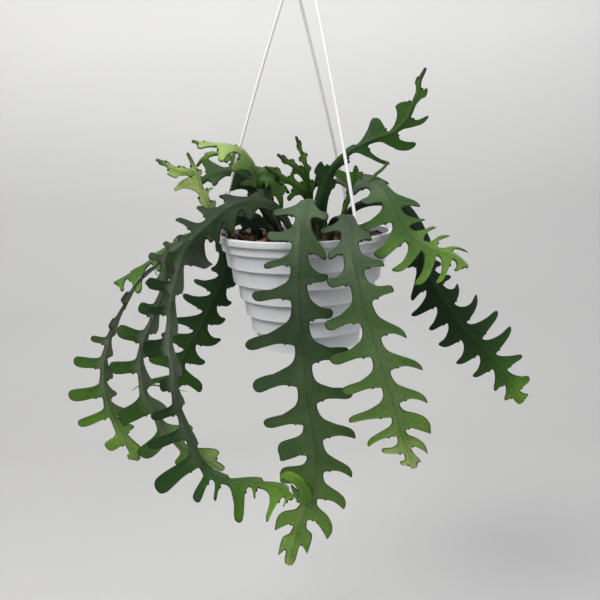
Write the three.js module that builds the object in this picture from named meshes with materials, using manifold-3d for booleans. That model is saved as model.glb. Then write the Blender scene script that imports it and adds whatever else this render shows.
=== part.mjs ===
// A ric rac cactus in a white stepped hanging pot, in millimetres, +Z up.
// The origin is where the hanger's hook sits on its support. The plant's front looks along -Y.
import * as THREE from "three";
import { mergeVertices } from "three/addons/utils/BufferGeometryUtils.js";
import Module from "manifold-3d";

// Driving dimensions
const RIM_RADIUS = 85;
const POT_HEIGHT = 109;
const POT_WALL = 1.8;
const SOIL_LEVEL = -10; // the soil's level under the rim
const HANGER_RISE = 247; // from the rim up to the underside of the hook's bar
const STRAND_THICKNESS = 3;
const STRAND_BOW = 6; // how far a strand bows outwards
const CLIP = { width: 7, thickness: 2, inner: 7, outer: 5, shoulder: 3, height: 9 }; // over the pot's lip
const FIT_GAP = 0.3; // between pieces that touch
const RIM_ROUND = 36; // flat sides round the pot
const FLOOR = 3; // thickness of the pot's floor

// The hook above the strands
const BAR = { length: 30, depth: 9, height: 9 };
const HOOK = { rise: 18, radius: 13, thickness: 5.5, turn: 1.1 }; // turn: the crook's share of a half circle
const HOOK_SEAT = HANGER_RISE + BAR.height + HOOK.rise + HOOK.radius - HOOK.thickness / 2;

// The bands of the pot from the lip down: height of the band's top, and its radius at top and bottom
const BANDS = [
  { top: -6, upper: 82, lower: 81 },
  { top: -15, upper: 78, lower: 76.5 },
  { top: -30, upper: 73, lower: 71.5 },
  { top: -46, upper: 67, lower: 65.7 },
  { top: -62, upper: 61.8, lower: 60.4 },
  { top: -78, upper: 56.5, lower: 55.3 },
  { top: -94, upper: 51.5, lower: 50 },
];
const LIP_HEIGHT = 6;
const STEP_SLOPE = 0.8;
const DRAIN = { count: 6, radius: 4, ring: 32 };

// Stalks stand in round holes in the soil
const STALK = { radius: 3.4, depth: 24, above: 5, sides: 10 };

// Thickness of a blade at its midrib and along its edges, and how it bends across
const BLADE = { middle: 3.4, edge: 1.6, roundness: 7, curlLength: 60, step: 12, core: 0.72 };
const CURL = 0.1;
const FIRST_NOTCH = 0.9; // where the lobes begin, as a share of the stalk's length
const TIP = { length: 2, shoulder: 0.9, end: 0.55, least: 4 }; // widths are shares of the last waist
const FINGER = 0.3; // thickness of a lobe's finger as a share of the pitch between notches
const LEAST_FINGER = 2.5;
const MOST_FINGER = 0.6; // also a share of the pitch
const NOTCH_AFTER_TIP = 3;

// Outlines of lobes. A row is a place, a share of the reach, and the share of the pitch that the row
// is tied to on the midrib. A finger's shoulder is laid out in shares of its length, and its end in
// shares of the finger's thickness back from the notch. The others are laid out in shares of the pitch.
const FINGER_SHOULDER = [[0, 0, 0], [0.6, 0.07, 0.38], [0.95, 0.45, 0.57], [1, 0.85, 0.66]];
const FINGER_END = [[0.7, 1, 0.75], [0.2, 0.88, 0.83], [0.27, 0.35, 0.92]];
const FINGER_ROOM = 1.15; // length of the finger's end in thicknesses
const TOOTH = [[0, 0], [0.3, 0.23], [0.58, 0.61], [0.78, 0.93], [0.88, 1], [0.95, 0.88], [0.965, 0.4]];
const FORMS = {
  fin: [
    [0, 0, 0], [0.38, 0.08, 0.33], [0.58, 0.4, 0.5], [0.74, 0.86, 0.64], [1, 1, 0.77],
    [0.95, 0.76, 0.86], [0.93, 0.35, 0.93],
  ],
  claw: [
    [0, 0, 0], [0.31, 0.18, 0.3], [0.46, 0.74, 0.45], [0.66, 0.97, 0.6], [1, 0.97, 0.73],
    [1.28, 0.9, 0.8], [1, 0.5, 0.9],
  ],
};

const wasm = await Module();
wasm.setup();

function solidOf(geometry) {
  const bare = geometry.index ? geometry.toNonIndexed() : geometry.clone();
  bare.deleteAttribute("normal");
  bare.deleteAttribute("uv");
  const merged = mergeVertices(bare, 1e-4);
  return new wasm.Manifold(
    new wasm.Mesh({
      numProp: 3,
      vertProperties: new Float32Array(merged.attributes.position.array),
      triVerts: new Uint32Array(merged.index.array),
    }),
  );
}

function geometryOf(solid) {
  const mesh = solid.getMesh();
  return new THREE.BufferGeometry()
    .setAttribute("position", new THREE.BufferAttribute(mesh.vertProperties, 3))
    .setIndex(new THREE.BufferAttribute(mesh.triVerts, 1));
}

function finish(color, roughness) {
  return new THREE.MeshStandardMaterial({ color, roughness, metalness: 0, flatShading: true });
}

function named(name, solid, material) {
  const mesh = new THREE.Mesh(geometryOf(solid), material);
  mesh.name = name;
  return mesh;
}

// A round bar between two points
function rod(from, to, radius, sides) {
  const along = to.clone().sub(from);
  const geometry = new THREE.CylinderGeometry(radius, radius, along.length(), sides);
  const upright = new THREE.Vector3(0, 1, 0);
  geometry.applyQuaternion(new THREE.Quaternion().setFromUnitVectors(upright, along.normalize()));
  geometry.translate(...from.clone().add(to).multiplyScalar(0.5).toArray());
  return solidOf(geometry);
}

// A round bar along a curve
function bentRod(curve, radius, sides, steps) {
  const section = new THREE.Shape();
  for (let i = 0; i < sides; i++) {
    const angle = (2 * Math.PI * i) / sides;
    const [x, y] = [radius * Math.cos(angle), radius * Math.sin(angle)];
    if (i === 0) section.moveTo(x, y);
    else section.lineTo(x, y);
  }
  return solidOf(new THREE.ExtrudeGeometry(section, { steps, extrudePath: curve, bevelEnabled: false }));
}

// A shape turned about the pot's axis, from [radius, height] corners listed against the clock
function turned(corners) {
  const profile = corners.map(([radius, height]) => new THREE.Vector2(radius, height));
  const geometry = new THREE.LatheGeometry(profile, RIM_ROUND);
  geometry.rotateX(Math.PI / 2);
  return solidOf(geometry);
}

// The pot's wall: the outside steps in under each band, and the inside follows a wall's thickness away
function makePot() {
  const outside = [];
  const inside = [];
  BANDS.forEach((band, i) => {
    const next = BANDS[i + 1];
    const foot = next ? next.top + STEP_SLOPE : -POT_HEIGHT;
    const insideTop = i > 0 ? band.top + STEP_SLOPE + POT_WALL : -STEP_SLOPE;
    const insideFoot = next ? next.top + 2 * STEP_SLOPE + POT_WALL : FLOOR - POT_HEIGHT;
    outside.push([band.upper, band.top], [band.lower, foot]);
    inside.push([band.upper - POT_WALL, insideTop], [band.lower - POT_WALL, insideFoot]);
  });
  const mouth = BANDS[0].upper - POT_WALL;
  const corners = [
    [0, -POT_HEIGHT],
    ...outside.reverse(),
    [RIM_RADIUS, -LIP_HEIGHT],
    [RIM_RADIUS, -STEP_SLOPE],
    [RIM_RADIUS - STEP_SLOPE, 0],
    [mouth + STEP_SLOPE, 0],
    ...inside,
    [0, FLOOR - POT_HEIGHT],
  ];
  let pot = turned(corners);
  for (let i = 0; i < DRAIN.count; i++) {
    const angle = (2 * Math.PI * i) / DRAIN.count;
    const [x, y] = [DRAIN.ring * Math.cos(angle), DRAIN.ring * Math.sin(angle)];
    const below = new THREE.Vector3(x, y, -POT_HEIGHT - 2);
    const above = new THREE.Vector3(x, y, FLOOR + 2 - POT_HEIGHT);
    pot = pot.subtract(rod(below, above, DRAIN.radius, 12));
  }
  return pot;
}

// The height of the soil's lumpy top at a place
function soilTop(x, y) {
  const lumps = 1.2 * Math.sin(0.31 * x + 1.3) * Math.sin(0.27 * y) + 0.8 * Math.sin(0.53 * x - 0.47 * y);
  return SOIL_LEVEL + lumps;
}

function makeSoil(stalks) {
  const topRings = 6;
  const around = 32;
  const flat = Math.cos(Math.PI / RIM_ROUND); // the wall's flats lie closer in than its corners
  const wallRings = [1, 2, 3, 5].map((i) => [
    (BANDS[i].upper - POT_WALL) * flat - FIT_GAP,
    BANDS[i].top + STEP_SLOPE + POT_WALL,
  ]);
  const bottom = FLOOR - POT_HEIGHT + FIT_GAP;
  wallRings.push([BANDS.at(-1).lower - 3 * POT_WALL, bottom]);
  const edge = (BANDS[0].lower - POT_WALL) * flat - FIT_GAP;
  const points = [[0, 0, soilTop(0, 0)]];
  const addRing = (radius, height) => {
    for (let i = 0; i < around; i++) {
      const angle = (2 * Math.PI * i) / around;
      const [x, y] = [radius * Math.cos(angle), radius * Math.sin(angle)];
      points.push([x, y, height ?? soilTop(x, y)]);
    }
  };
  for (let ring = 1; ring <= topRings; ring++) addRing((edge * ring) / topRings);
  for (const [radius, height] of wallRings) addRing(radius, height);
  const rings = topRings + wallRings.length;
  points.push([0, 0, bottom]);
  const at = (ring, i) => 1 + (ring - 1) * around + (i % around);
  const faces = [];
  for (let i = 0; i < around; i++) {
    faces.push([0, at(1, i), at(1, i + 1)]);
    for (let ring = 1; ring < rings; ring++) {
      faces.push([at(ring, i), at(ring + 1, i), at(ring + 1, i + 1)]);
      faces.push([at(ring, i), at(ring + 1, i + 1), at(ring, i + 1)]);
    }
    faces.push([at(rings, i), points.length - 1, at(rings, i + 1)]);
  }
  let soil = solidFromFaces(points, faces);
  for (const [x, y] of stalks) {
    const foot = new THREE.Vector3(x, y, SOIL_LEVEL - STALK.depth - FIT_GAP);
    const mouth = new THREE.Vector3(x, y, SOIL_LEVEL + 8);
    soil = soil.subtract(rod(foot, mouth, STALK.radius + FIT_GAP, STALK.sides));
  }
  return soil;
}

function solidFromFaces(points, faces) {
  return new wasm.Manifold(
    new wasm.Mesh({
      numProp: 3,
      vertProperties: new Float32Array(points.flat()),
      triVerts: new Uint32Array(faces.flat()),
    }),
  );
}

// The three strands: where each clips on the rim, and where its top stands in the hook's bar
const STRANDS = [
  { name: "strand_left", angle: 180, place: 0 },
  { name: "strand_front_right", angle: -57, place: 8 },
  { name: "strand_back_right", angle: 55, place: -8 },
];

function strandEnds({ angle, place }) {
  const turn = THREE.MathUtils.degToRad(angle);
  const radius = RIM_RADIUS - 2;
  const foot = new THREE.Vector3(radius * Math.cos(turn), radius * Math.sin(turn), 5);
  const head = new THREE.Vector3(place, 0, HANGER_RISE + 6);
  return { turn, foot, head };
}

// A strand bows outwards a little on its way up, and ends below in a clip over the pot's lip
function makeStrand(strand) {
  const { turn, foot, head } = strandEnds(strand);
  const bow = new THREE.Vector3(STRAND_BOW * Math.cos(turn), STRAND_BOW * Math.sin(turn), 0);
  const middle = foot.clone().add(head).multiplyScalar(0.5).add(bow);
  const curve = new THREE.QuadraticBezierCurve3(foot, middle, head);
  const bar = bentRod(curve, STRAND_THICKNESS / 2, 8, 8);
  const inside = BANDS[0].upper - POT_WALL - 2;
  const outside = RIM_RADIUS + FIT_GAP;
  const clip = new THREE.Shape();
  clip.moveTo(inside - CLIP.thickness, -CLIP.inner);
  clip.lineTo(inside, -CLIP.inner);
  clip.lineTo(inside, FIT_GAP);
  clip.lineTo(outside, FIT_GAP);
  clip.lineTo(outside, -CLIP.outer);
  clip.lineTo(outside + CLIP.thickness, -CLIP.outer);
  clip.lineTo(outside + CLIP.thickness, CLIP.shoulder);
  clip.lineTo(outside - 1, CLIP.height);
  clip.lineTo(inside + 1, CLIP.height);
  clip.lineTo(inside - CLIP.thickness, CLIP.shoulder);
  clip.closePath();
  const geometry = new THREE.ExtrudeGeometry(clip, { depth: CLIP.width, bevelEnabled: false });
  geometry.translate(0, 0, -CLIP.width / 2);
  geometry.rotateX(Math.PI / 2);
  geometry.rotateZ(turn);
  return bar.add(solidOf(geometry));
}

function makeHook() {
  const bar = new THREE.BoxGeometry(BAR.length, BAR.depth, BAR.height);
  bar.translate(0, 0, HANGER_RISE + BAR.height / 2);
  let solid = solidOf(bar);
  const top = HANGER_RISE + BAR.height;
  const crook = new THREE.CurvePath();
  const neck = new THREE.Vector3(0, 0, top - 2);
  const shoulder = new THREE.Vector3(HOOK.radius, 0, top + HOOK.rise);
  crook.add(new THREE.CubicBezierCurve3(
    neck,
    new THREE.Vector3(0, 0, top + HOOK.rise * 0.5),
    new THREE.Vector3(HOOK.radius, 0, top + HOOK.rise * 0.4),
    shoulder,
  ));
  const round = [];
  for (let i = 0; i <= 8; i++) {
    const angle = (Math.PI * HOOK.turn * i) / 8;
    const [x, z] = [HOOK.radius * Math.cos(angle), HOOK.radius * Math.sin(angle)];
    round.push(new THREE.Vector3(x, 0, top + HOOK.rise + z));
  }
  crook.add(new THREE.CatmullRomCurve3(round));
  solid = solid.add(bentRod(crook, HOOK.thickness / 2, 8, 22));
  for (const strand of STRANDS) {
    const { foot, head } = strandEnds(strand);
    const along = head.clone().sub(foot).normalize();
    const below = head.clone().addScaledVector(along, -14);
    const above = head.clone().addScaledVector(along, FIT_GAP);
    solid = solid.subtract(rod(below, above, STRAND_THICKNESS / 2 + FIT_GAP, 10));
  }
  return solid;
}

// Stems. A stem is a flat blade that follows its midrib. A path's row holds a point of the midrib,
// then the way that the blade's face looks there. The first row stands at the soil, and lobes are
// placed along the stem from the row that the stalk ends at. A lobe is the place of its tip along
// the midrib, its reach from the midrib, how far it hooks and its form. Fold is how far both halves
// droop from the face, in degrees, and waist the half-width between the lobes, each spread evenly
// from base to tip.
const STEMS = {
  stem_front: {
    stalkRows: 3,
    path: [
      [6, -24, -10, 0, 1, 0], [6, -29, 8, 0, 1, 0.2], [5, -45, 27, 0, 0.5, 0.8],
      [2, -70, 34, 0, -0.3, 1], [-4, -96, 14, 0, -0.9, 0.5], [-7, -110, -13, 0, -1, 0.1],
      [-8, -116, -44, 0, -1, 0], [-6, -120, -87, 0, -1, 0], [-5, -121, -120, 0, -1, 0],
      [0, -121, -157, 0, -1, 0], [2, -120, -185, 0, -1, 0], [-1, -117, -214, 0, -1, 0],
      [-9, -114, -235, 0, -1, 0], [-17, -110, -260, 0, -1, 0], [-25, -105, -291, 0, -1, 0],
    ],
    fold: [5, 10, 10],
    waist: [2.6, 7, 7.5, 7.5, 8, 5],
    left: [
      [20, 28], [44, 29, -2], [70, 30, 4], [95, 40, 1], [139, 50, 7], [175, 46, 7], [205, 42, 3],
      [232, 33, 0, "claw"], [261, 31, 0, "claw"], [270, 20, -12, 0.8], [311, 21, 5, "claw"],
      [333, 12, 0, "claw"],
    ],
    right: [
      [20, 21], [62, 23, 7, 0.6], [78, 25, -3, 0.5], [113, 28, 0, 0.3], [150, 40, 1], [191, 40, 6],
      [222, 36, 4, "fin"], [253, 33, 6, "fin"], [275, 33, 3, "fin"], [310, 31, 14, "claw"],
      [325, 15, 0, "claw"],
    ],
  },
  stem_right_front: {
    stalkRows: 3,
    path: [
      [22, -42, -10, 0, 1, 0], [23, -46, 5, 0, 1, 0.3], [27, -58, 16, 0, 0.5, 0.8],
      [35, -78, 20, 0, -0.4, 0.9], [36, -103, 3, 0, -0.9, 0.4], [38, -119, -16, 0, -1, 0.1],
      [44, -130, -43, 0, -1, 0], [51, -135, -72, 0, -1, 0], [59, -138, -101, 0, -1, 0],
      [69, -138, -136, 0, -1, 0], [76, -135, -164, 0, -1, 0], [86, -130, -190, 0, -1, 0],
    ],
    fold: [5, 10, 10],
    waist: [2.6, 7, 7.5, 7.5, 6, 4],
    rightForm: "fin",
    left: [
      [18, 24], [45, 20, 3], [66, 25, -3], [103, 36, 2], [130, 40, 0], [158, 38, 1], [191, 40, 6],
      [211, 31, 8], [220, 20, -2],
    ],
    right: [
      [27, 19, -4], [58, 25, -1], [82, 27, -4], [124, 27, 7], [155, 32, 9], [183, 27, 8], [199, 26, -2],
      [217, 25, 5], [236, 13, 3],
    ],
  },
  stem_right_upper: {
    stalkRows: 3,
    path: [
      [20, 14, -10, -1, 0, 0], [20, 16, 10, -1, 0, 0.1], [22, 14, 34, -0.8, -0.3, 0.5],
      [32, 4, 48, 0, -0.4, 0.9], [45, -8, 50, 0, -0.5, 0.85], [58, -20, 48, 0.1, -0.6, 0.8],
      [69, -32, 42, 0.2, -0.7, 0.7], [76, -42, 32, 0.3, -0.75, 0.6], [82, -49, 18, 0.3, -0.8, 0.5],
      [89, -54, 4, 0.3, -0.8, 0.5], [99, -57, -6, 0.3, -0.8, 0.5], [111, -58, -13, 0.3, -0.8, 0.5],
      [123, -58, -17, 0.3, -0.8, 0.5], [135, -57, -22, 0.3, -0.8, 0.5], [145, -56, -30, 0.3, -0.8, 0.5],
    ],
    fold: [5, 10, 8],
    waist: [2.6, 7, 9, 10, 9, 7, 3],
    finger: 0.3,
    curl: 0,
    leftForm: 0.4,
    rightForm: "fin",
    left: [
      [42, 26], [65, 26, -3], [86, 39, -2], [105, 40, -2], [115, 37, -6], [129, 38, -6], [143, 31, -7],
      [160, 12, -4],
    ],
    right: [[50, 12], [81, 31, 3], [104, 28, 6], [128, 26, 9], [145, 21, 10], [162, 14, 13]],
  },
  stem_right_lower: {
    stalkRows: 5,
    path: [
      [34, 22, -10, -0.7, -0.7, 0], [36, 21, 5, -0.6, -0.7, 0.3], [50, 19, 20, 0, -0.7, 0.7],
      [70, 17, 26, 0, -0.7, 0.7], [92, 16, 22, 0.1, -0.8, 0.6], [106, 14, 5, 0.2, -0.9, 0.5],
      [113, 12, -17, 0.2, -1, 0.3], [118, 10, -42, 0, -1, 0.2], [128, 8, -63, 0, -1, 0.1],
      [142, 5, -86, 0, -1, 0], [154, 2, -104, 0, -1, 0], [169, 0, -119, 0, -1, 0],
      [183, -2, -134, 0, -1, 0], [195, -4, -150, 0, -1, 0], [212, -5, -178, 0, -1, 0],
    ],
    fold: [5, 10, 10],
    waist: [2.6, 6, 8, 9, 8, 5],
    leftForm: 0.75,
    rightForm: 0.75,
    left: [
      [14, 12], [42, 18], [70, 26, 5], [82, 34, -2], [103, 27, -1], [119, 28, -5], [142, 29, -5],
      [165, 26, -3], [192, 17, 3], [205, 13],
    ],
    right: [
      [26, 12], [50, 17], [68, 20], [80, 22, -11], [100, 32, -14], [136, 38, -2], [153, 36, -5],
      [178, 26, 1], [200, 20, -2], [215, 10],
    ],
  },
  stem_left_face: {
    stalkRows: 5,
    path: [
      [-30, 46, -10, -0.8, 0.6, 0], [-33, 48, 6, -0.7, 0.6, -0.4], [-46, 54, 22, 0, 0, -1],
      [-62, 61, 27, 0, -0.2, -1], [-77, 66, 20, 0.2, -0.6, -0.8], [-85, 65, 0, 0, -1, -0.2],
      [-84, 60, -28, 0, -1, 0], [-84, 56, -45, 0, -1, 0], [-90, 53, -62, 0, -1, 0],
      [-99, 50, -77, 0, -1, 0], [-107, 46, -93, 0, -1, 0], [-116, 42, -109, 0, -1, 0],
      [-126, 38, -125, 0, -1, 0], [-134, 36, -141, 0, -1, 0], [-138, 35, -154, 0, -1, 0],
    ],
    fold: [5, 10, 10],
    waist: [2.6, 5, 6, 7, 6, 4],
    leftForm: 0.75,
    rightForm: 0.75,
    left: [
      [24, 10], [47, 16, -2], [73, 29, 1], [88, 32, -4], [119, 30, 4], [138, 33, 1], [160, 36],
      [173, 22],
    ],
    right: [
      [28, 10], [56, 14, -4], [74, 18, -6], [95, 20, -7], [114, 25, -7], [144, 22, -5], [174, 26, 8],
    ],
  },
  stem_left_inner: {
    stalkRows: 3,
    path: [
      [-14, -14, -10, 0.7, -0.7, 0], [-16, -15, 8, 0.7, -0.7, 0.2], [-28, -18, 25, 0.3, -0.7, 0.6],
      [-46, -22, 32, 0, -0.7, 0.7], [-68, -40, 29, 0, -0.8, 0.6], [-85, -50, 16, 0.1, -0.9, 0.4],
      [-104, -58, -1, 0.4, -0.9, 0.2], [-113, -61, -17, 0.5, -0.85, 0.1],
      [-118, -63, -33, 0.6, -0.8, 0], [-123, -65, -51, 0.6, -0.8, 0], [-127, -70, -91, 0.6, -0.8, 0],
      [-124, -74, -116, 0.6, -0.8, 0], [-123, -78, -138, 0.6, -0.8, 0],
      [-117, -82, -161, 0.6, -0.8, 0.2], [-110, -86, -181, 0.5, -0.7, 0.5],
      [-98, -90, -204, 0.3, -0.6, 0.75], [-81, -92, -214, 0.1, -0.5, 0.87],
      [-60, -94, -216, 0, -0.5, 0.87], [-40, -96, -219, 0, -0.5, 0.87],
      [-30, -98, -223, 0.2, -0.5, 0.8], [-22, -100, -231, 0.5, -0.5, 0.6],
    ],
    fold: [10, 10, 15, 50, 57, 57, 57, 55, 35],
    waist: [2.6, 10, 10, 7, 5, 5, 5, 5, 5],
    finger: 0.28,
    leftForm: 0.4,
    rightForm: 0.9,
    left: [
      [30, 17, 3], [52, 20, 1], [73, 23, 4], [102, 14], [125, 24], [145, 20], [181, 23], [214, 13],
      [235, 26], [258, 36], [290, 46, 0, 0.2], [304, 27], [332, 33], [358, 22], [376, 20, 6],
    ],
    right: [
      [20, 15, 2], [46, 15, 5], [60, 15, 1], [97, 46, 0, 0.8], [126, 17], [165, 17], [203, 17],
      [230, 16], [270, 17], [315, 17], [346, 16], [370, 11],
    ],
  },
  stem_left_middle: {
    stalkRows: 2,
    path: [
      [-32, -8, -10, 0.6, -0.8, 0], [-34, -9, 4, 0.6, -0.8, 0.3], [-48, -12, 14, 0.1, -0.8, 0.6],
      [-70, -16, 17, 0, -0.8, 0.6], [-92, -18, 8, 0, -0.8, 0.6], [-108, -20, -2, 0, -0.8, 0.6],
      [-127, -34, -15, 0.3, -0.9, 0.2], [-132, -38, -31, 0.5, -0.85, 0.1],
      [-134, -42, -47, 0.64, -0.77, 0], [-145, -46, -73, 0.64, -0.77, 0],
      [-155, -50, -95, 0.64, -0.77, 0], [-158, -53, -118, 0.64, -0.77, 0],
      [-155, -56, -143, 0.6, -0.77, 0.2], [-147, -57, -157, 0.5, -0.8, 0.3],
      [-140, -58, -174, 0.4, -0.8, 0.4], [-128, -58, -188, 0.2, -0.9, 0.3],
      [-116, -58, -199, 0, -1, 0.2], [-101, -57, -208, 0, -1, 0.1], [-86, -56, -218, 0, -1, 0],
    ],
    fold: [5, 10, 25, 50, 50, 50, 40, 10],
    waist: [2.6, 8, 7, 6, 4.5, 4.5, 5, 4],
    finger: 0.32,
    leftForm: 0.15,
    rightForm: 0.9,
    left: [
      [14, 13, 0, 0.8], [36, 14, 0, 0.8], [56, 13, 0, 0.8], [72, 13], [86, 14], [98, 18], [122, 17],
      [151, 16], [177, 25], [204, 28], [244, 32], [275, 34], [300, 20], [322, 12],
    ],
    right: [
      [10, 14, 0, 0.8], [30, 17, 0, 0.8], [50, 14, 0, 0.8], [70, 12], [90, 14], [112, 18], [138, 16],
      [166, 16], [190, 16], [221, 16], [252, 16], [286, 22], [322, 13],
    ],
  },
  stem_left_outer: {
    stalkRows: 2,
    path: [
      [-44, 8, -10, -1, -0.2, 0], [-46, 9, 3, -0.9, -0.2, -0.4], [-58, 12, 13, -0.2, -0.2, -1],
      [-76, 13, 15, 0, -0.2, -1], [-96, 8, 8, 0, -0.2, -1], [-116, -1, -5, 0.2, -0.3, -0.95],
      [-135, -14, -19, 0.5, -0.2, -0.85], [-146, -19, -28, 0.6, -0.1, -0.8],
      [-161, -25, -41, 0.8, -0.1, -0.6], [-170, -30, -56, 0.85, -0.2, -0.4],
      [-180, -35, -73, 0.85, -0.4, -0.2], [-188, -39, -90, 0.8, -0.6, 0],
      [-194, -43, -113, 0.64, -0.77, 0], [-195, -46, -133, 0.64, -0.77, 0],
      [-192, -48, -153, 0.55, -0.8, 0.1], [-184, -50, -174, 0.4, -0.9, 0.1],
      [-174, -51, -193, 0.2, -1, 0], [-167, -52, -207, 0, -1, 0],
    ],
    fold: [5, 5, 5, 15, 35, 55, 40, 10],
    waist: [2.6, 7, 5, 4, 3.5, 3.5, 4, 5, 4],
    finger: 0.3,
    leftForm: 0.2,
    rightForm: 0.9,
    shoots: ["shoot_left_upright", "shoot_left_branch"],
    left: [
      [14, 12, 0, 0.8], [34, 12, 0, 0.8], [58, 9], [88, 8], [118, 8], [149, 10], [175, 6], [191, 16],
      [214, 27], [240, 33], [260, 33], [290, 21], [306, 8],
    ],
    right: [
      [12, 12, 0, 0.8], [32, 12, 0, 0.8], [64, 10], [102, 8], [132, 8], [153, 9], [182, 10], [203, 12],
      [226, 15], [244, 15], [262, 15], [282, 13], [302, 8],
    ],
  },
  stem_left_back: {
    stalkRows: 3,
    path: [
      [-50, 28, -10, 0.9, -0.4, 0], [-53, 30, 4, 0.9, -0.4, 0.3], [-64, 35, 14, 0.2, -0.4, 0.9],
      [-84, 35, 11, 0, -0.5, 0.9], [-104, 29, 1, -0.2, -0.5, 0.8], [-121, 22, -5, -0.3, -0.5, 0.8],
      [-137, 17, -14, -0.3, -0.5, 0.8], [-152, 13, -25, -0.3, -0.5, 0.8],
      [-164, 9, -33, -0.3, -0.5, 0.8], [-181, 4, -42, -0.3, -0.5, 0.8], [-188, 2, -45, -0.3, -0.5, 0.8],
    ],
    fold: [5, 10, 10],
    waist: [2.6, 5, 4, 3.2, 3.2, 3],
    leftForm: 0.6,
    rightForm: 0.6,
    left: [[20, 9], [50, 8], [78, 7], [102, 6]],
    right: [[36, 9], [60, 12], [83, 19, 2], [110, 28, 2], [122, 16]],
  },
  stem_arch_pale: {
    stalkRows: 2,
    path: [
      [-24, 4, -10, 0.7, -0.7, 0], [-29, 1, 8, 0.7, -0.7, 0], [-37, -2, 27, 0.7, -0.7, 0],
      [-39, -3, 39, 0.7, -0.7, 0.1], [-44, -4, 50, 0.6, -0.7, 0.3], [-49, -10, 64, 0.4, -0.7, 0.6],
      [-55, -12, 73, 0.2, -0.6, 0.8], [-61, -14, 80, 0, -0.5, 0.85], [-70, -16, 84, 0, -0.5, 0.85],
      [-85, -17, 85, 0, -0.5, 0.85], [-102, -18, 89, 0, -0.5, 0.85],
    ],
    fold: [5, 20, 20],
    waist: [2.6, 5, 5.5, 5.5, 4.5, 1.8],
    finger: 0.32,
    curl: 0.5,
    leftForm: 0.7,
    rightForm: 0.7,
    shoots: ["shoot_arch_curl", "shoot_arch_drop"],
    left: [[8, 21], [22, 20], [62, 9], [92, 6]],
    right: [[14, 15], [30, 17], [52, 19], [78, 18], [96, 8]],
  },
  stem_arch_dark: {
    stalkRows: 2,
    path: [
      [-24, 18, -10, 0.6, -0.8, 0], [-29, 14, 8, 0.5, -0.8, 0.2], [-36, 11, 24, 0.3, -0.8, 0.5],
      [-41, 12, 34, 0, -0.8, 0.6], [-50, 13, 45, 0, -0.8, 0.6], [-59, 14, 53, 0, -0.8, 0.6],
      [-69, 14, 59, 0, -0.8, 0.6], [-83, 13, 58, 0, -0.8, 0.6], [-94, 12, 54, 0, -0.8, 0.6],
      [-101, 11, 48, 0, -0.8, 0.6],
    ],
    fold: [5, 10, 10],
    waist: [2.6, 9, 9, 7, 3],
    leftForm: 0.7,
    rightForm: 0.7,
    left: [[22, 16], [50, 20], [71, 24]],
    right: [[20, 11], [46, 25], [72, 12]],
  },
  stem_arch_thin: {
    stalkRows: 2,
    path: [
      [-36, 34, -10, 0.6, -0.8, 0], [-38, 32, 8, 0.5, -0.8, 0.2], [-42, 32, 26, 0.3, -0.8, 0.5],
      [-48, 33, 40, 0, -0.8, 0.6], [-56, 35, 56, 0, -0.8, 0.6], [-64, 36, 68, 0, -0.8, 0.6],
      [-73, 36, 74, 0, -0.8, 0.6], [-83, 35, 76, 0, -0.8, 0.6], [-93, 34, 75, 0, -0.8, 0.6],
      [-100, 33, 71, 0, -0.8, 0.6], [-105, 32, 65, 0, -0.8, 0.6],
    ],
    fold: [5, 10, 10],
    waist: [2.6, 4, 3.5, 2.5, 1.8],
    left: [[28, 8], [54, 6], [80, 4]],
    right: [[16, 9], [40, 8], [62, 9], [86, 4]],
  },
  stem_centre: {
    stalkRows: 2,
    path: [
      [-2, 4, -10, 0, -1, 0], [2, 2, 10, 0, -1, 0], [5, 0, 30, 0, -1, 0], [4, 0, 42, 0, -1, 0],
      [3, 0, 53, 0, -1, 0], [2, 0, 64, 0, -1, 0], [-2, 0, 77, 0, -1, 0], [-6, 0, 90, 0, -1, 0],
    ],
    fold: [5, 10, 10],
    waist: [2.6, 5, 4, 2.4, 1.6],
    shoots: ["shoot_centre_middle", "shoot_centre_left", "shoot_bud"],
    left: [[17, 10], [30, 5], [42, 5], [54, 3]],
    right: [[10, 8], [26, 5], [40, 5], [50, 3]],
  },
  stem_right_tall: {
    stalkRows: 2,
    path: [
      [12, -7, -10, 0, -1, 0], [12, -10, 8, 0, -1, 0], [14, -15, 28, 0, -1, 0], [19, -15, 42, 0, -1, 0],
      [26, -14, 57, 0.2, -1, 0], [35, -13, 68, 0.3, -1, 0.2], [46, -11, 76, 0.2, -0.8, 0.6],
      [59, -9, 82, 0, -0.9, 0.4], [72, -8, 87, 0, -1, 0], [84, -8, 91, 0, -1, 0],
      [93, -8, 98, 0, -1, 0], [100, -8, 107, 0, -1, 0], [104, -8, 117, 0, -1, 0],
      [108, -8, 127, 0, -1, 0], [110, -8, 138, 0, -1, 0], [115, -8, 148, 0, -1, 0],
    ],
    fold: [5, 10, 15, 10],
    waist: [2.6, 7, 6, 3, 3, 3, 1.8],
    finger: 0.25,
    left: [[24, 9], [50, 8], [92, 27, 20], [106, 22, 4], [124, 18, 4], [149, 9, 2]],
    right: [[33, 15], [62, 5], [92, 19, -2], [131, 15, -2], [156, 4]],
  },
  stem_right_tee: {
    stalkRows: 2,
    path: [
      [36, -27, -10, 0, -1, 0], [35, -34, 2, 0, -1, 0], [34, -40, 16, 0, -1, 0],
      [37, -41, 27, 0, -1, 0], [41, -41, 40, 0, -1, 0], [45, -41, 54, 0, -1, 0],
      [47, -41, 62, 0, -1, 0],
    ],
    fold: [5, 10],
    waist: [2.4, 2, 2, 2],
    left: [[20, 3], [43, 8]],
    right: [[14, 3], [40, 17]],
  },
};

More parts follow.
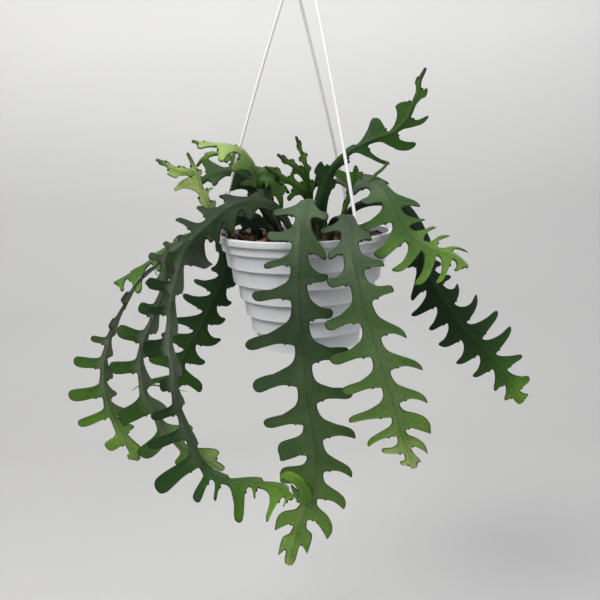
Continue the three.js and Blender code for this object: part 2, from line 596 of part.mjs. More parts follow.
// Shoots grow from a stem and are one body with it. Their first row lies inside that stem.
const SHOOTS = {
  shoot_arch_curl: {
    path: [
      [-43, -4, 48, 0.6, -0.7, 0.3], [-42, -3, 56, 0.3, -0.8, 0.5], [-36, -1, 60, 0, -0.7, 0.7],
      [-29, 1, 57, 0, -0.7, 0.7], [-24, 2, 50, 0.4, -0.8, 0.4], [-21, 2, 43, 0.5, -0.8, 0.2],
      [-15, 1, 38, 0, -0.9, 0.4],
    ],
    fold: [10, 20, 30],
    waist: [4, 5, 5, 4, 1.8],
    leftForm: 0.7,
    rightForm: 0.7,
    left: [[14, 8], [32, 8]],
    right: [[10, 9], [26, 9], [40, 4]],
  },
  shoot_arch_drop: {
    path: [
      [-42, -4, 43, 0.6, -0.7, 0.2], [-37, -8, 50, 0.3, -0.8, 0.5], [-30, -9, 48, 0.2, -0.8, 0.5],
      [-26, -9, 41, 0.3, -0.9, 0.2], [-23, -9, 33, 0.3, -0.9, 0.1], [-22, -9, 25, 0.3, -0.9, 0.1],
    ],
    fold: [5, 10, 10],
    waist: [4, 5, 5, 4, 2],
    leftForm: 0.7,
    rightForm: 0.7,
    left: [[12, 8], [26, 7]],
    right: [[14, 12], [28, 11]],
  },
  shoot_left_upright: {
    path: [
      [-88, 10, 11, 0, -1, 0.1], [-90, 4, 22, 0, -1, 0.1], [-94, -1, 31, 0, -1, 0.1],
      [-98, -4, 41, 0, -1, 0.1], [-100, -7, 51, 0, -1, 0.1], [-102, -11, 62, 0, -1, 0.1],
      [-105, -12, 71, 0, -1, 0.1], [-108, -12, 78, 0, -1, 0.1],
    ],
    fold: [5, 10],
    waist: [4, 5, 4.5, 2.5, 1.6],
    finger: 0.2,
    left: [[20, 8], [34, 12], [55, 6]],
    right: [[29, 6], [41, 25, -9, 0.8], [60, 4]],
  },
  shoot_left_branch: {
    path: [
      [-98, -6, 53, 0, -1, 0.1], [-109, -9, 60, 0, -1, 0.1], [-116, -12, 62, 0, -1, 0.1],
      [-125, -13, 66, 0, -1, 0.1], [-131, -13, 70, 0, -1, 0.1], [-137, -13, 73, 0, -1, 0.1],
    ],
    fold: [5, 10],
    waist: [4, 4, 3, 1.8],
    left: [[22, 5], [34, 3]],
    right: [[30, 8], [38, 3]],
  },
  shoot_centre_middle: {
    path: [
      [4, 0, 47, 0, -1, 0], [-3, -2, 58, 0, -1, 0], [-10, -3, 64, 0, -1, 0], [-17, -3, 69, 0, -1, 0],
      [-24, -3, 74, 0, -1, 0],
    ],
    fold: [5, 10],
    waist: [3.5, 3.5, 3, 1.8],
    left: [[14, 5], [24, 5], [32, 3]],
    right: [[18, 6], [30, 4]],
  },
  shoot_centre_left: {
    path: [
      [5, 0, 30, 0, -1, 0], [-1, -4, 40, 0, -1, 0], [-10, -5, 47, 0, -1, 0], [-19, -6, 52, 0, -1, 0],
      [-28, -6, 59, 0, -1, 0], [-36, -6, 63, 0, -1, 0],
    ],
    fold: [5, 10],
    waist: [4, 5, 4, 2.8, 1.6],
    left: [[16, 8], [28, 9], [44, 5]],
    right: [[20, 17], [34, 7], [46, 3]],
  },
  shoot_bud: {
    path: [
      [7, 0, 38, 0, -1, 0], [11, -2, 46, 0, -1, 0], [13, -3, 53, 0, -1, 0], [15, -4, 60, 0, -1, 0],
    ],
    fold: [5, 5],
    waist: [1.5, 1.5, 1.8],
    left: [],
    right: [],
  },
  shoot_stick: {
    path: [
      [60, -25, 46, 0, -1, 0], [66, -22, 53, 0, -1, 0], [73, -19, 58, 0, -1, 0],
      [79, -16, 64, 0, -1, 0],
    ],
    fold: [5, 5],
    waist: [1.5, 1.5, 1.3],
    left: [],
    right: [],
  },
};
STEMS.stem_right_upper.shoots = ["shoot_stick"];

// A value spread evenly along a list, at a share from 0 to 1
function spread(list, share) {
  const place = THREE.MathUtils.clamp(share, 0, 1) * (list.length - 1);
  const i = Math.min(Math.floor(place), list.length - 2);
  return THREE.MathUtils.lerp(list[i], list[i + 1], place - i);
}

// The midrib's frame along its length: a function of the distance from the base
function midrib(path) {
  const smooth = (rows) => new THREE.CatmullRomCurve3(rows, false, "catmullrom", 0.5);
  const rib = smooth(path.map((row) => new THREE.Vector3(row[0], row[1], row[2])));
  const face = smooth(path.map((row) => new THREE.Vector3(row[3], row[4], row[5])));
  const perRow = 16;
  const count = (path.length - 1) * perRow;
  const table = [{ share: 0, length: 0, point: rib.getPoint(0) }];
  for (let i = 1; i <= count; i++) {
    const point = rib.getPoint(i / count);
    const before = table[i - 1];
    table.push({ share: i / count, length: before.length + point.distanceTo(before.point), point });
  }
  const length = table[count].length;
  const rowLength = (row) => table[row * perRow].length;
  function frame(distance) {
    const along = THREE.MathUtils.clamp(distance, 0, length);
    let i = 1;
    while (i < count && table[i].length < along) i++;
    const [a, b] = [table[i - 1], table[i]];
    const share = THREE.MathUtils.lerp(a.share, b.share, (along - a.length) / (b.length - a.length));
    const forward = rib.getTangent(share);
    const point = rib.getPoint(share).addScaledVector(forward, distance - along);
    const look = face.getPoint(share);
    look.addScaledVector(forward, -look.dot(forward)).normalize();
    return { point, look, side: new THREE.Vector3().crossVectors(look, forward) };
  }
  return { length, frame, rowLength };
}

// A lobe's outline from the notch before it to the notch after it. Its form is a fin, a claw, or a
// number from 0, a finger with a long hollow shoulder and a round end, to 1, a broad straight tooth.
// A hooked lobe bends on towards the stem's tip.
function lobeOutline(before, after, { reach, hook, form }, waist, finger) {
  const pitch = after - before;
  const thick = Math.min(Math.max(finger * pitch, LEAST_FINGER), MOST_FINGER * pitch);
  const shoulder = pitch - FINGER_ROOM * thick;
  const fingerRows = [
    ...FINGER_SHOULDER.map(([place, out, tied]) => [before + place * shoulder, out, tied]),
    ...FINGER_END.map(([place, out, tied]) => [after - place * thick, out, tied]),
  ];
  const towardsTooth = ([place, out, tied], i) => [
    THREE.MathUtils.lerp(place, before + TOOTH[i][0] * pitch, form),
    THREE.MathUtils.lerp(out, TOOTH[i][1], form),
    tied,
  ];
  const rows = FORMS[form]
    ? FORMS[form].map(([place, out, tied]) => [before + place * pitch, out, tied])
    : fingerRows.map(towardsTooth);
  return rows.map(([place, out, tied]) => [
    place + hook * out * out,
    waist + out * (Math.max(reach, waist + 1) - waist),
    before + tied * pitch,
  ]);
}

// One edge of the blade, from base to tip
function edgeOutline(stem, hand, start, length, waistAt) {
  const lobes = hand < 0 ? stem.left : stem.right;
  const usual = (hand < 0 ? stem.leftForm : stem.rightForm) ?? 0;
  const rows = [[0, waistAt(0), 0]];
  let before = Math.max(start * FIRST_NOTCH, 1);
  for (let place = BLADE.step; place < before - BLADE.step / 3; place += BLADE.step) {
    rows.push([place, waistAt(place), place]);
  }
  for (const lobe of lobes) {
    const [end, reach, hook = 0, form = usual] = lobe;
    const after = Math.min(start + end - hook + NOTCH_AFTER_TIP, length - 1);
    const shape = { reach, hook, form };
    rows.push(...lobeOutline(before, after, shape, waistAt(after), stem.finger ?? FINGER));
    before = after;
  }
  rows.push([before, waistAt(before), before]);
  if (length - before > TIP.least) {
    rows.push([length - TIP.length, waistAt(length) * TIP.shoulder, length - TIP.length]);
  }
  rows.push([length, waistAt(length) * TIP.end, length]);
  return rows;
}

// A closed blade: an upper and a lower face split alike, joined round the edge
function bladeSolid(stem) {
  const { length, frame, rowLength } = midrib(stem.path);
  const start = stem.stalkRows ? rowLength(stem.stalkRows) : 0;
  const waistAt = (place) => spread(stem.waist, place / length);
  const curl = stem.curl ?? CURL;
  const points = [];
  const faces = [];

  function place(along, out, hand, tied, lift) {
    const { point, look, side } = frame(along);
    const fold = THREE.MathUtils.degToRad(spread(stem.fold, tied / length));
    const round = Math.hypot(out, BLADE.roundness);
    const crown = BLADE.roundness * Math.asinh(out / BLADE.roundness);
    const across = out * Math.cos(fold) + (1 - Math.cos(fold)) * crown;
    const droop = Math.sin(fold) * (round - BLADE.roundness) + (curl * out * out) / BLADE.curlLength;
    const slope = Math.atan((Math.sin(fold) * out) / round + (2 * curl * out) / BLADE.curlLength);
    const spot = point.clone().addScaledVector(side, hand * (across + lift * Math.sin(slope)));
    spot.addScaledVector(look, lift * Math.cos(slope) - droop);
    points.push(spot.toArray());
    return points.length - 1;
  }

  const steps = Math.max(2, Math.round(length / BLADE.step));
  const grid = Array.from({ length: steps + 1 }, (_, i) => (length * i) / steps);
  const layers = [1, -1].map((up) => {
    const waistLines = [-1, 1].map((hand) =>
      grid.map((along) => place(along, BLADE.core * waistAt(along), hand, along, (up * BLADE.middle) / 2)),
    );
    const edges = [-1, 1].map((hand) =>
      edgeOutline(stem, hand, start, length, waistAt).map(([along, out, tied]) => ({
        tied,
        index: place(along, out, hand, tied, (up * BLADE.edge) / 2),
      })),
    );
    return { up, waistLines, edges };
  });

  const add = (a, b, c, flip) => faces.push(flip ? [a, c, b] : [a, b, c]);
  for (const { up, waistLines, edges } of layers) {
    const flip = up < 0;
    const [left, right] = waistLines;
    for (let i = 0; i < steps; i++) {
      add(left[i], right[i], right[i + 1], !flip);
      add(left[i], right[i + 1], left[i + 1], !flip);
    }
    [-1, 1].forEach((hand, which) => {
      const line = waistLines[which];
      const edge = edges[which];
      const turn = hand > 0 ? !flip : flip;
      let [i, j] = [0, 0];
      while (i < line.length - 1 || j < edge.length - 1) {
        const nextLine = i < line.length - 1 ? grid[i + 1] : Infinity;
        const nextEdge = j < edge.length - 1 ? edge[j + 1].tied : Infinity;
        if (nextLine <= nextEdge) {
          add(line[i], edge[j].index, line[i + 1], turn);
          i++;
        } else {
          add(line[i], edge[j].index, edge[j + 1].index, turn);
          j++;
        }
      }
    });
  }
  const [upper, lower] = layers;
  [-1, 1].forEach((hand, which) => {
    const [a, b] = [upper.edges[which], lower.edges[which]];
    for (let i = 0; i < a.length - 1; i++) {
      add(a[i].index, a[i + 1].index, b[i + 1].index, hand < 0);
      add(a[i].index, b[i + 1].index, b[i].index, hand < 0);
    }
  });
  for (const atEnd of [false, true]) {
    const pick = (list) => (atEnd ? list.at(-1) : list[0]);
    const rim = (layer) => [
      pick(layer.edges[0]).index,
      pick(layer.waistLines[0]),
      pick(layer.waistLines[1]),
      pick(layer.edges[1]).index,
    ];
    const [a, b] = [rim(upper), rim(lower)];
    for (let i = 0; i < 3; i++) {
      add(a[i], a[i + 1], b[i + 1], atEnd);
      add(a[i], b[i + 1], b[i], atEnd);
    }
  }
  return solidFromFaces(points, faces);
}

function makeStem(stem) {
  let solid = bladeSolid(stem);
  for (const name of stem.shoots ?? []) solid = solid.add(bladeSolid(SHOOTS[name]));
  const [x, y] = stem.path[0];
  const foot = new THREE.Vector3(x, y, SOIL_LEVEL - STALK.depth);
  const top = new THREE.Vector3(x, y, SOIL_LEVEL + STALK.above);
  return solid.add(rod(foot, top, STALK.radius, STALK.sides));
}

const root = new THREE.Group();
const hanging = new THREE.Group();
hanging.position.z = -HOOK_SEAT;
root.add(hanging);

const stalks = Object.values(STEMS).map((stem) => stem.path[0]);
hanging.add(named("pot", makePot(), finish(0xeceef1, 0.35)));
hanging.add(named("soil", makeSoil(stalks), finish(0x2f221a, 0.95)));
hanging.add(named("hanger_hook", makeHook(), finish(0xf2f3f5, 0.3)));
for (const strand of STRANDS) {
  hanging.add(named(strand.name, makeStrand(strand), finish(0xf2f3f5, 0.3)));
}
for (const [name, stem] of Object.entries(STEMS)) {
  hanging.add(named(name, makeStem(stem), finish(0x35562f, 0.45)));
}

export default root;
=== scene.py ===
# %% [markdown]
# # A ric rac cactus in a hanging pot
# The CAD model gives every piece its place and plain form. This file gives the pieces the form and
# finish they have from close by: soft lobed stems with a raised midrib, a moulded pot with soft
# corners, bark chips, thin roots. Lengths are worked out in millimetres in the pot's own frame, with
# the pot's rim at height 0, and become metres when a piece is made.

# %% Load the CAD frame
import math
from itertools import product

import bpy
import numpy as np
from mathutils import Matrix, Vector


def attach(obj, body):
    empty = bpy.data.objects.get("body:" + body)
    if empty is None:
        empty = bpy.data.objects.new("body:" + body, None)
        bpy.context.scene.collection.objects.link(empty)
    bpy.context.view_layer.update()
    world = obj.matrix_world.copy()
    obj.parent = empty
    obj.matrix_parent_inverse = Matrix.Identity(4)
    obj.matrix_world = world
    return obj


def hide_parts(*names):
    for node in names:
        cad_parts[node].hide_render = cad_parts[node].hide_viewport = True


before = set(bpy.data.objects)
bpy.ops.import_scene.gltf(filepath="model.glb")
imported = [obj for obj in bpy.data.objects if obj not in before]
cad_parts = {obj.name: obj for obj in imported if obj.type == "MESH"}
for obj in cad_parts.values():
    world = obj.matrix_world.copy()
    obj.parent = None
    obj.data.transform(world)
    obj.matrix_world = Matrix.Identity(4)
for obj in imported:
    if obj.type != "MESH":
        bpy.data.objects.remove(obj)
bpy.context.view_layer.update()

print("nodes:", len(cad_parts))

# %% [markdown]
# ## Sizes
# The rim is 170 mm wide, and the strands carry the pot 247 mm below the bar of the hook. The hook
# hangs by the inside of its crook, which is the origin of the whole object. The few driving sizes
# are named here, so that pot, soil and hanger always fit each other.

# %% Sizes
RIM_RADIUS = 85
POT_HEIGHT = 109
POT_WALL = 1.8
POT_FLOOR = 3
LIP_HEIGHT = 6
SOIL_LEVEL = -10
FIT_GAP = 0.3
HANGER_RISE = 247
STRAND_THICKNESS = 3
BAR = dict(length=30, depth=9, height=9)
HOOK = dict(rise=18, radius=13, thickness=5.5, turn=1.1)
HOOK_SEAT = HANGER_RISE + BAR["height"] + HOOK["rise"] + HOOK["radius"] - HOOK["thickness"] / 2
MOUNT_DROP = np.array([0, 0, HOOK_SEAT])
print("the hook's seat is", HOOK_SEAT, "mm above the rim")

# %% [markdown]
# ## Shells from grids of points
# Every shape below is a grid of points: rings that follow each other along a piece. It could be
# modelled by hand, but a grid keeps its faces in order and its shape a formula. A grid whose rings
# are closed is a tube or a shell, and a fan of triangles closes each end onto a point.

# %% Grids and shells
def ring_faces(rows, columns, closed=True):
    """Quads between neighbouring rows of a grid: corner (i, j) is number i * columns + j, and each
    quad joins (i, j), (i+1, j), (i+1, j+1) and (i, j+1)."""
    steps = columns if closed else columns - 1
    i, j = np.meshgrid(np.arange(rows - 1), np.arange(steps), indexing="ij")
    right = (j + 1) % columns
    quad = [i * columns + j, (i + 1) * columns + j, (i + 1) * columns + right, i * columns + right]
    return np.stack(quad, -1).reshape(-1, 4)


def closed_shell(grid, values=None):
    """A shell from rings of points: the quads between the rings, and at each end a fan from the
    ring to its middle point. values holds a number per point for each named attribute."""
    rows, columns, _ = grid.shape
    quads = ring_faces(rows, columns)
    points = np.vstack([grid.reshape(-1, 3), grid[0].mean(0), grid[-1].mean(0)])
    first, last = rows * columns, rows * columns + 1
    j = np.arange(columns)
    after = (j + 1) % columns
    start_fan = np.stack([np.full(columns, first), j, after], -1)
    base = (rows - 1) * columns
    end_fan = np.stack([base + after, base + j, np.full(columns, last)], -1)
    extra = {}
    for key, value in (values or {}).items():
        value = np.broadcast_to(np.float64(value), (rows, columns))
        extra[key] = np.concatenate([value.ravel(), [value[0].mean(), value[-1].mean()]])
    return points, quads.tolist() + start_fan.tolist() + end_fan.tolist(), extra


print("a tube of 3 rings of 8 points has", len(ring_faces(3, 8)), "quads")

# %% [markdown]
# ## From shells to a piece
# A stem, its stalk and its side shoots grew as one body, so their shells are stacked into one mesh.
# Joining the objects in Blender would do the same, more slowly. The mesh also carries named numbers
# per point, such as how young the skin is there, and the materials read them. Every piece rides the
# body of the CAD model and takes the place of its plain CAD nodes.

# %% Stacking shells and making a piece
def stack(shells):
    """Several shells as one: each shell's corner numbers grow by the count of the points before it."""
    points, faces, values, count = [], [], {}, 0
    keys = sorted({key for shell in shells for key in shell[2]})
    for shell_points, shell_faces, extra in shells:
        points.append(shell_points)
        faces += [[corner + count for corner in face] for face in shell_faces]
        for key in keys:
            values.setdefault(key, []).append(extra.get(key, np.zeros(len(shell_points))))
        count += len(shell_points)
    return np.vstack(points), faces, {key: np.concatenate(value) for key, value in values.items()}


def make_piece(name, shell, material, slot=None, stands_for=(), sharp=None):
    """An object from a shell in the pot's frame: a point p in mm stands at (p - seat) / 1000 in metres."""
    points, faces, values = shell
    mesh = bpy.data.meshes.new(name)
    mesh.from_pydata(((points - MOUNT_DROP) / 1000).tolist(), [], faces)
    mesh.shade_smooth()
    if sharp:
        mesh.set_sharp_from_angle(angle=math.radians(sharp))
    for key, value in values.items():
        attribute = mesh.attributes.new(key, "FLOAT", "POINT")
        attribute.data.foreach_set("value", value.astype(np.float32))
    mesh.materials.append(material)
    piece = bpy.data.objects.new(name, mesh)
    bpy.context.scene.collection.objects.link(piece)
    if slot:
        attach(piece, "root")
    if stands_for:
        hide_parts(*stands_for)
    print(name, len(points), "points")
    return piece


twice = stack([closed_shell(np.zeros((2, 8, 3)))] * 2)
print("two stacked shells of 18 points have", len(twice[0]), "points and", len(twice[1]), "faces")

# %% [markdown]
# ## The stems, measured
# A ric rac stem is a flat green blade with a round midrib, and its two edges are cut into lobes that
# take turns, like the bones of a fish. A scatter of random lobes would look like some plant, but not
# like this one, so each stem is a short list of measured places. A path row is a point of the midrib
# and the way the blade's face looks there, and a row of three numbers looks the way the row before
# it does. A lobe is the place of its tip along the midrib and how far the tip stands out, then how
# far it hooks on towards the stem's end and its form, which may both be left out. Lobes count from
# the path row where the stalk ends. Fold is how far both halves droop, in degrees, and waist the
# half-width between lobes. Youth, bloom with painted sheen, and dry tip are for the skin; the right
# half may have a painted sheen of its own, the pale light off a half seen at a glancing angle. All
# these lists are spread evenly from base to tip. First come the two stems that hang over the front
# of the pot.

# %% The front stems
# The skin's bloom lists paint a sheen of light with some real waxy bloom; the right half's list paints the
# pale light off a half seen at a glancing angle.
STEMS = dict(
    stem_front=dict(
        stalk_rows=3, fold=[5, 10, 10], waist=[2.6, 7, 7.5, 7.5, 8, 5],
        youth=[0.28, 0.28, 0.24, 0.12, 0.24, 0.36, 0.62, 0.74],
        wax=[0.15, 0.25, 0.22, 0.16, 0.24, 0.24, 0.1], shoots=["shoot_front_fold"],
        path=[(6, -24, -10, 0, 1, 0), (6, -29, 8, 0, 1, 0.2), (5, -45, 27, 0, 0.5, 0.8),
              (2, -70, 34, 0, -0.3, 1), (-4, -96, 14, 0, -0.9, 0.5), (-7, -110, -13, 0, -1, 0.1),
              (-8, -116, -44, 0, -1, 0), (-6, -120, -87), (-5, -121, -120), (0, -121, -157),
              (2, -120, -185), (-1, -117, -214), (-9, -114, -235), (-17, -110, -260), (-25, -105, -291)],
        left=[(20, 28), (44, 29, -2), (70, 30, 4), (95, 40, 1), (139, 50, 7), (175, 46, 7), (205, 42, 3),
              (232, 33, 0, "claw"), (261, 31, 0, "claw"), (270, 20, -12, 0.8), (311, 21, 5, "claw"),
              (333, 12, 0, "claw")],
        right=[(20, 21), (62, 23, 7, 0.6), (78, 25, -3, 0.5), (113, 28, 0, 0.3), (150, 40, 1),
              (191, 40, 6), (222, 36, 4, "fin"), (253, 33, 6, "fin"), (275, 33, 3, "fin"),
              (310, 31, 14, "claw"), (325, 15, 0, "claw")],
    ),
    stem_right_front=dict(
        stalk_rows=3, fold=[5, 10, 10], waist=[2.6, 7, 7.5, 7.5, 6, 4], forms=dict(right="fin"),
        youth=[0.08, 0.1, 0.3, 0.44, 0.56, 0.84], wax=[0.06, 0.12, 0.26, 0.3, 0.25, 0.2],
        path=[(22, -42, -10, 0, 1, 0), (23, -46, 5, 0, 1, 0.3), (27, -58, 16, 0, 0.5, 0.8),
              (35, -78, 20, 0, -0.4, 0.9), (36, -103, 3, 0, -0.9, 0.4), (38, -119, -16, 0, -1, 0.1),
              (44, -130, -43, 0, -1, 0), (51, -135, -72), (59, -138, -101), (69, -138, -136),
              (76, -135, -164), (86, -130, -190)],
        left=[(18, 24), (45, 20, 3), (66, 25, -3), (103, 36, 2), (130, 40, 0), (158, 38, 1),
              (184, 40, -1, "fin"), (207, 30, 4, "fin"), (214, 20, -6, "fin"), (231, 10, -2)],
        right=[(27, 19, -4), (58, 25, -1), (82, 27, -4), (124, 27, 7), (155, 32, 9), (183, 28, 8),
              (208, 26, 8, "claw"), (228, 16, 10, "claw"), (236, 7, 2)],
    ),
)
print(len(STEMS), "stems hang in front")

# %% [markdown]
# ## The stems at the right
# Two stems trail over the right rim, the longer one under the other. The upper one shows its face
# nearly flat, so it isn't curled at all, and a thin dry stick stands up from it.

# %% The right stems
STEMS.update(
    stem_right_upper=dict(
        stalk_rows=3, fold=[5, 10, 8], waist=[2.6, 7, 9, 10, 9, 7, 3], curl=0,
        forms=dict(left=0.4, right="fin"), youth=[0.03, 0.08, 0.26, 0.47, 0.68],
        wax=[0.25, 0.2, 0.15, 0.1], shoots=["shoot_stick"],
        path=[(20, 14, -10, -1, 0, 0), (20, 16, 10, -1, 0, 0.1), (22, 14, 34, -0.8, -0.3, 0.5),
              (32, 4, 48, 0, -0.4, 0.9), (45, -8, 50, 0, -0.5, 0.85), (58, -20, 48, 0.1, -0.6, 0.8),
              (69, -32, 42, 0.2, -0.7, 0.7), (76, -42, 32, 0.3, -0.75, 0.6),
              (82, -49, 18, 0.3, -0.8, 0.5), (89, -54, 4), (99, -57, -6), (111, -58, -13),
              (123, -58, -17), (135, -57, -22), (145, -56, -30)],
        left=[(42, 26), (65, 26, -3), (86, 39, -2), (105, 40, -2), (115, 37, -6), (129, 38, -6),
              (143, 31, -7), (160, 12, -4)],
        right=[(50, 12), (81, 31, 3), (104, 28, 6), (128, 26, 9), (145, 21, 10), (162, 14, 13)],
    ),
    stem_right_lower=dict(
        stalk_rows=5, fold=[5, 10, 10], waist=[2.6, 6, 8, 9, 8, 5], forms=dict(left=0.75, right=0.75),
        youth=[0.05, 0, 0, 0.02, 0.08, 0.3, 0.66],
        path=[(34, 22, -10, -0.7, -0.7, 0), (36, 21, 5, -0.6, -0.7, 0.3), (50, 19, 20, 0, -0.7, 0.7),
              (70, 17, 26), (92, 16, 22, 0.1, -0.8, 0.6), (106, 14, 5, 0.2, -0.9, 0.5),
              (113, 12, -17, 0.2, -1, 0.3), (118, 10, -42, 0, -1, 0.2), (128, 8, -63, 0, -1, 0.1),
              (142, 5, -86, 0, -1, 0), (154, 2, -104), (169, 0, -119), (183, -2, -134), (195, -4, -150),
              (212, -5, -178)],
        left=[(14, 12), (42, 18), (70, 26, 5), (82, 34, -2), (103, 27, -1), (119, 28, -5), (142, 29, -5),
              (165, 26, -3), (192, 17, 3), (205, 13)],
        right=[(26, 12), (50, 17), (68, 20), (80, 22, -11), (100, 32, -14), (136, 38, -2), (153, 36, -5),
              (178, 26, 1), (200, 20, -2), (215, 10)],
    ),
)
print(len(STEMS), "stems with those at the right")

# %% [markdown]
# ## The stems at the left
# A broad dark stem bends over the left rim. Beyond it three long ones arch out and hang, one behind
# the other. An air root, which such a plant puts out to hold on to bark, grew from the inner and the
# middle one: its points and its radii are listed from base to tip.

# %% The left stems
STEMS.update(
    stem_left_face=dict(
        stalk_rows=5, fold=[5, 10, 10], waist=[2.6, 5, 6, 7, 6, 4], finger=0.5,
        forms=dict(left=0.75, right=0.75), youth=[0.05, 0, 0.02, 0.2, 0.36],
        path=[(-30, 46, -10, -0.8, 0.6, 0), (-33, 48, 6, -0.7, 0.6, -0.4), (-46, 54, 22, 0, 0, -1),
              (-62, 61, 27, 0, -0.2, -1), (-77, 66, 20, 0.2, -0.6, -0.8), (-85, 65, 0, 0, -1, -0.2),
              (-84, 60, -28, 0, -1, 0), (-84, 56, -45), (-90, 53, -62), (-99, 50, -77), (-107, 46, -93),
              (-116, 42, -109), (-126, 38, -125), (-134, 36, -141), (-139, 35, -163)],
        left=[(24, 10), (47, 16, -2), (73, 29, 1), (88, 32, -4), (119, 30, 4), (138, 33, 1), (160, 36),
              (185, 34, 10, 0.2)],
        right=[(28, 10), (56, 14, -4), (74, 18, -6), (95, 20, -7), (115, 25, -11), (144, 22, -5),
              (184, 26, 9, 0.2)],
    ),
    stem_left_inner=dict(
        stalk_rows=3, fold=[10, 10, 15, 50, 57, 57, 57, 55, 35],
        waist=[2.6, 7.5, 7.5, 5.5, 3.6, 3.6, 3.6, 4, 4.5], finger=0.45,
        forms=dict(left="strap", right=0.9), youth=[0.05, 0.05, 0.04, 0.03, 0.05, 0.3, 0.72],
        wax=[0.12, 0.06, 0, 0, 0, 0, 0, 0], right_bloom_and_sheen=[0, 0, 0.1, 0.5, 0.6, 0.25, 0, 0],
        path=[(-14, -14, -10, 0.7, -0.7, 0), (-16, -15, 8, 0.7, -0.7, 0.2),
              (-28, -18, 25, 0.3, -0.7, 0.6), (-46, -22, 32, 0, -0.7, 0.7), (-68, -40, 29, 0, -0.8, 0.6),
              (-85, -50, 16, 0.1, -0.9, 0.4), (-104, -58, -1, 0.4, -0.9, 0.2),
              (-113, -61, -17, 0.5, -0.85, 0.1), (-118, -63, -33, 0.6, -0.8, 0), (-123, -65, -51),
              (-127, -70, -91), (-124, -74, -116), (-123, -78, -138), (-117, -82, -161, 0.6, -0.8, 0.2),
              (-110, -86, -181, 0.5, -0.7, 0.5), (-98, -90, -204, 0.3, -0.6, 0.75),
              (-81, -92, -214, 0.1, -0.5, 0.87), (-60, -94, -216, 0, -0.5, 0.87), (-40, -96, -219),
              (-30, -98, -222.5, 0.2, -0.5, 0.8), (-20, -100, -229, 0.4, -0.5, 0.7)],
        left=[(25, 19, -2, "fin"), (48, 22, -3, "fin"), (70, 25, 1, "fin"), (102, 14), (125, 24),
              (145, 20), (181, 23), (214, 13), (235, 26), (258, 36), (290, 46, 4), (302, 27, 2),
              (310, 19, 0, "fin"), (334, 33, 0, 0), (342, 13, 0, "fin"), (369, 28, 0, "fin"),
              (374, 12, 0, "fin")],
        right=[(20, 20, 2), (46, 20, 5), (60, 18, 1), (97, 46, 0, 0.8), (126, 17), (165, 15), (203, 13),
              (230, 11), (270, 10), (315, 11), (346, 12), (370, 11)],
        root=[(-172.6, -30, -146), (-166.5, -30, -141.7), (-157.6, -30, -140), (-145.2, -30, -141.9),
              (-133.8, -30, -144.8), (-119.5, -30, -148.3)],
        root_radii=[0.2, 0.7, 0.9, 0.7, 0.2],
    ),
    stem_left_middle=dict(
        stalk_rows=2, fold=[5, 10, 25, 50, 50, 50, 40, 10], waist=[2.6, 8, 7, 5, 3.4, 3.4, 4, 4],
        finger=0.32, forms=dict(left="strap", right=0.9), youth=[0.05, 0.05, 0.12, 0.25, 0.45, 0.7],
        right_bloom_and_sheen=[0, 0, 0.5, 0.65, 0.5, 0.1],
        path=[(-32, -8, -10, 0.6, -0.8, 0), (-34, -9, 4, 0.6, -0.8, 0.3), (-48, -12, 14, 0.1, -0.8, 0.6),
              (-70, -16, 17, 0, -0.8, 0.6), (-92, -18, 8), (-108, -20, -2),
              (-127, -34, -15, 0.3, -0.9, 0.2), (-132, -38, -31, 0.5, -0.85, 0.1),
              (-134, -42, -47, 0.64, -0.77, 0), (-145, -46, -73), (-155, -50, -95), (-158, -53, -118),
              (-155, -56, -143, 0.6, -0.77, 0.2), (-147, -57, -157, 0.5, -0.8, 0.3),
              (-140, -58, -174, 0.4, -0.8, 0.4), (-128, -58, -188, 0.2, -0.9, 0.3),
              (-116, -58, -199, 0, -1, 0.2), (-101, -57, -208, 0, -1, 0.1), (-86, -56, -218, 0, -1, 0)],
        left=[(14, 13, 0, 0.8), (36, 14, 0, 0.8), (56, 13, 0, 0.8), (72, 13), (86, 14), (98, 18),
              (122, 17), (151, 16), (177, 25), (204, 28), (244, 32), (275, 34), (300, 20), (322, 12)],
        right=[(10, 14, 0, 0.8), (30, 17, 0, 0.8), (50, 14, 0, 0.8), (70, 12), (90, 14), (112, 18),
              (138, 16), (166, 16), (190, 16), (221, 16), (252, 16), (286, 22), (322, 13)],
        root=[(-138.8, -20, -18.6), (-143, -20, -24.2), (-144.4, -20, -30.9), (-140.9, -20, -36.3),
              (-136.1, -20, -35), (-134.3, -20, -29.3), (-137.3, -20, -24.4)],
        root_radii=[0.5, 0.4, 0.25],
    ),
)
print(len(STEMS), "stems with the inner ones at the left")

# %% [markdown]
# ## The outer stems at the left
# The outermost of the long stems reaches farthest from the pot, and a short narrow one reaches out
# behind it.

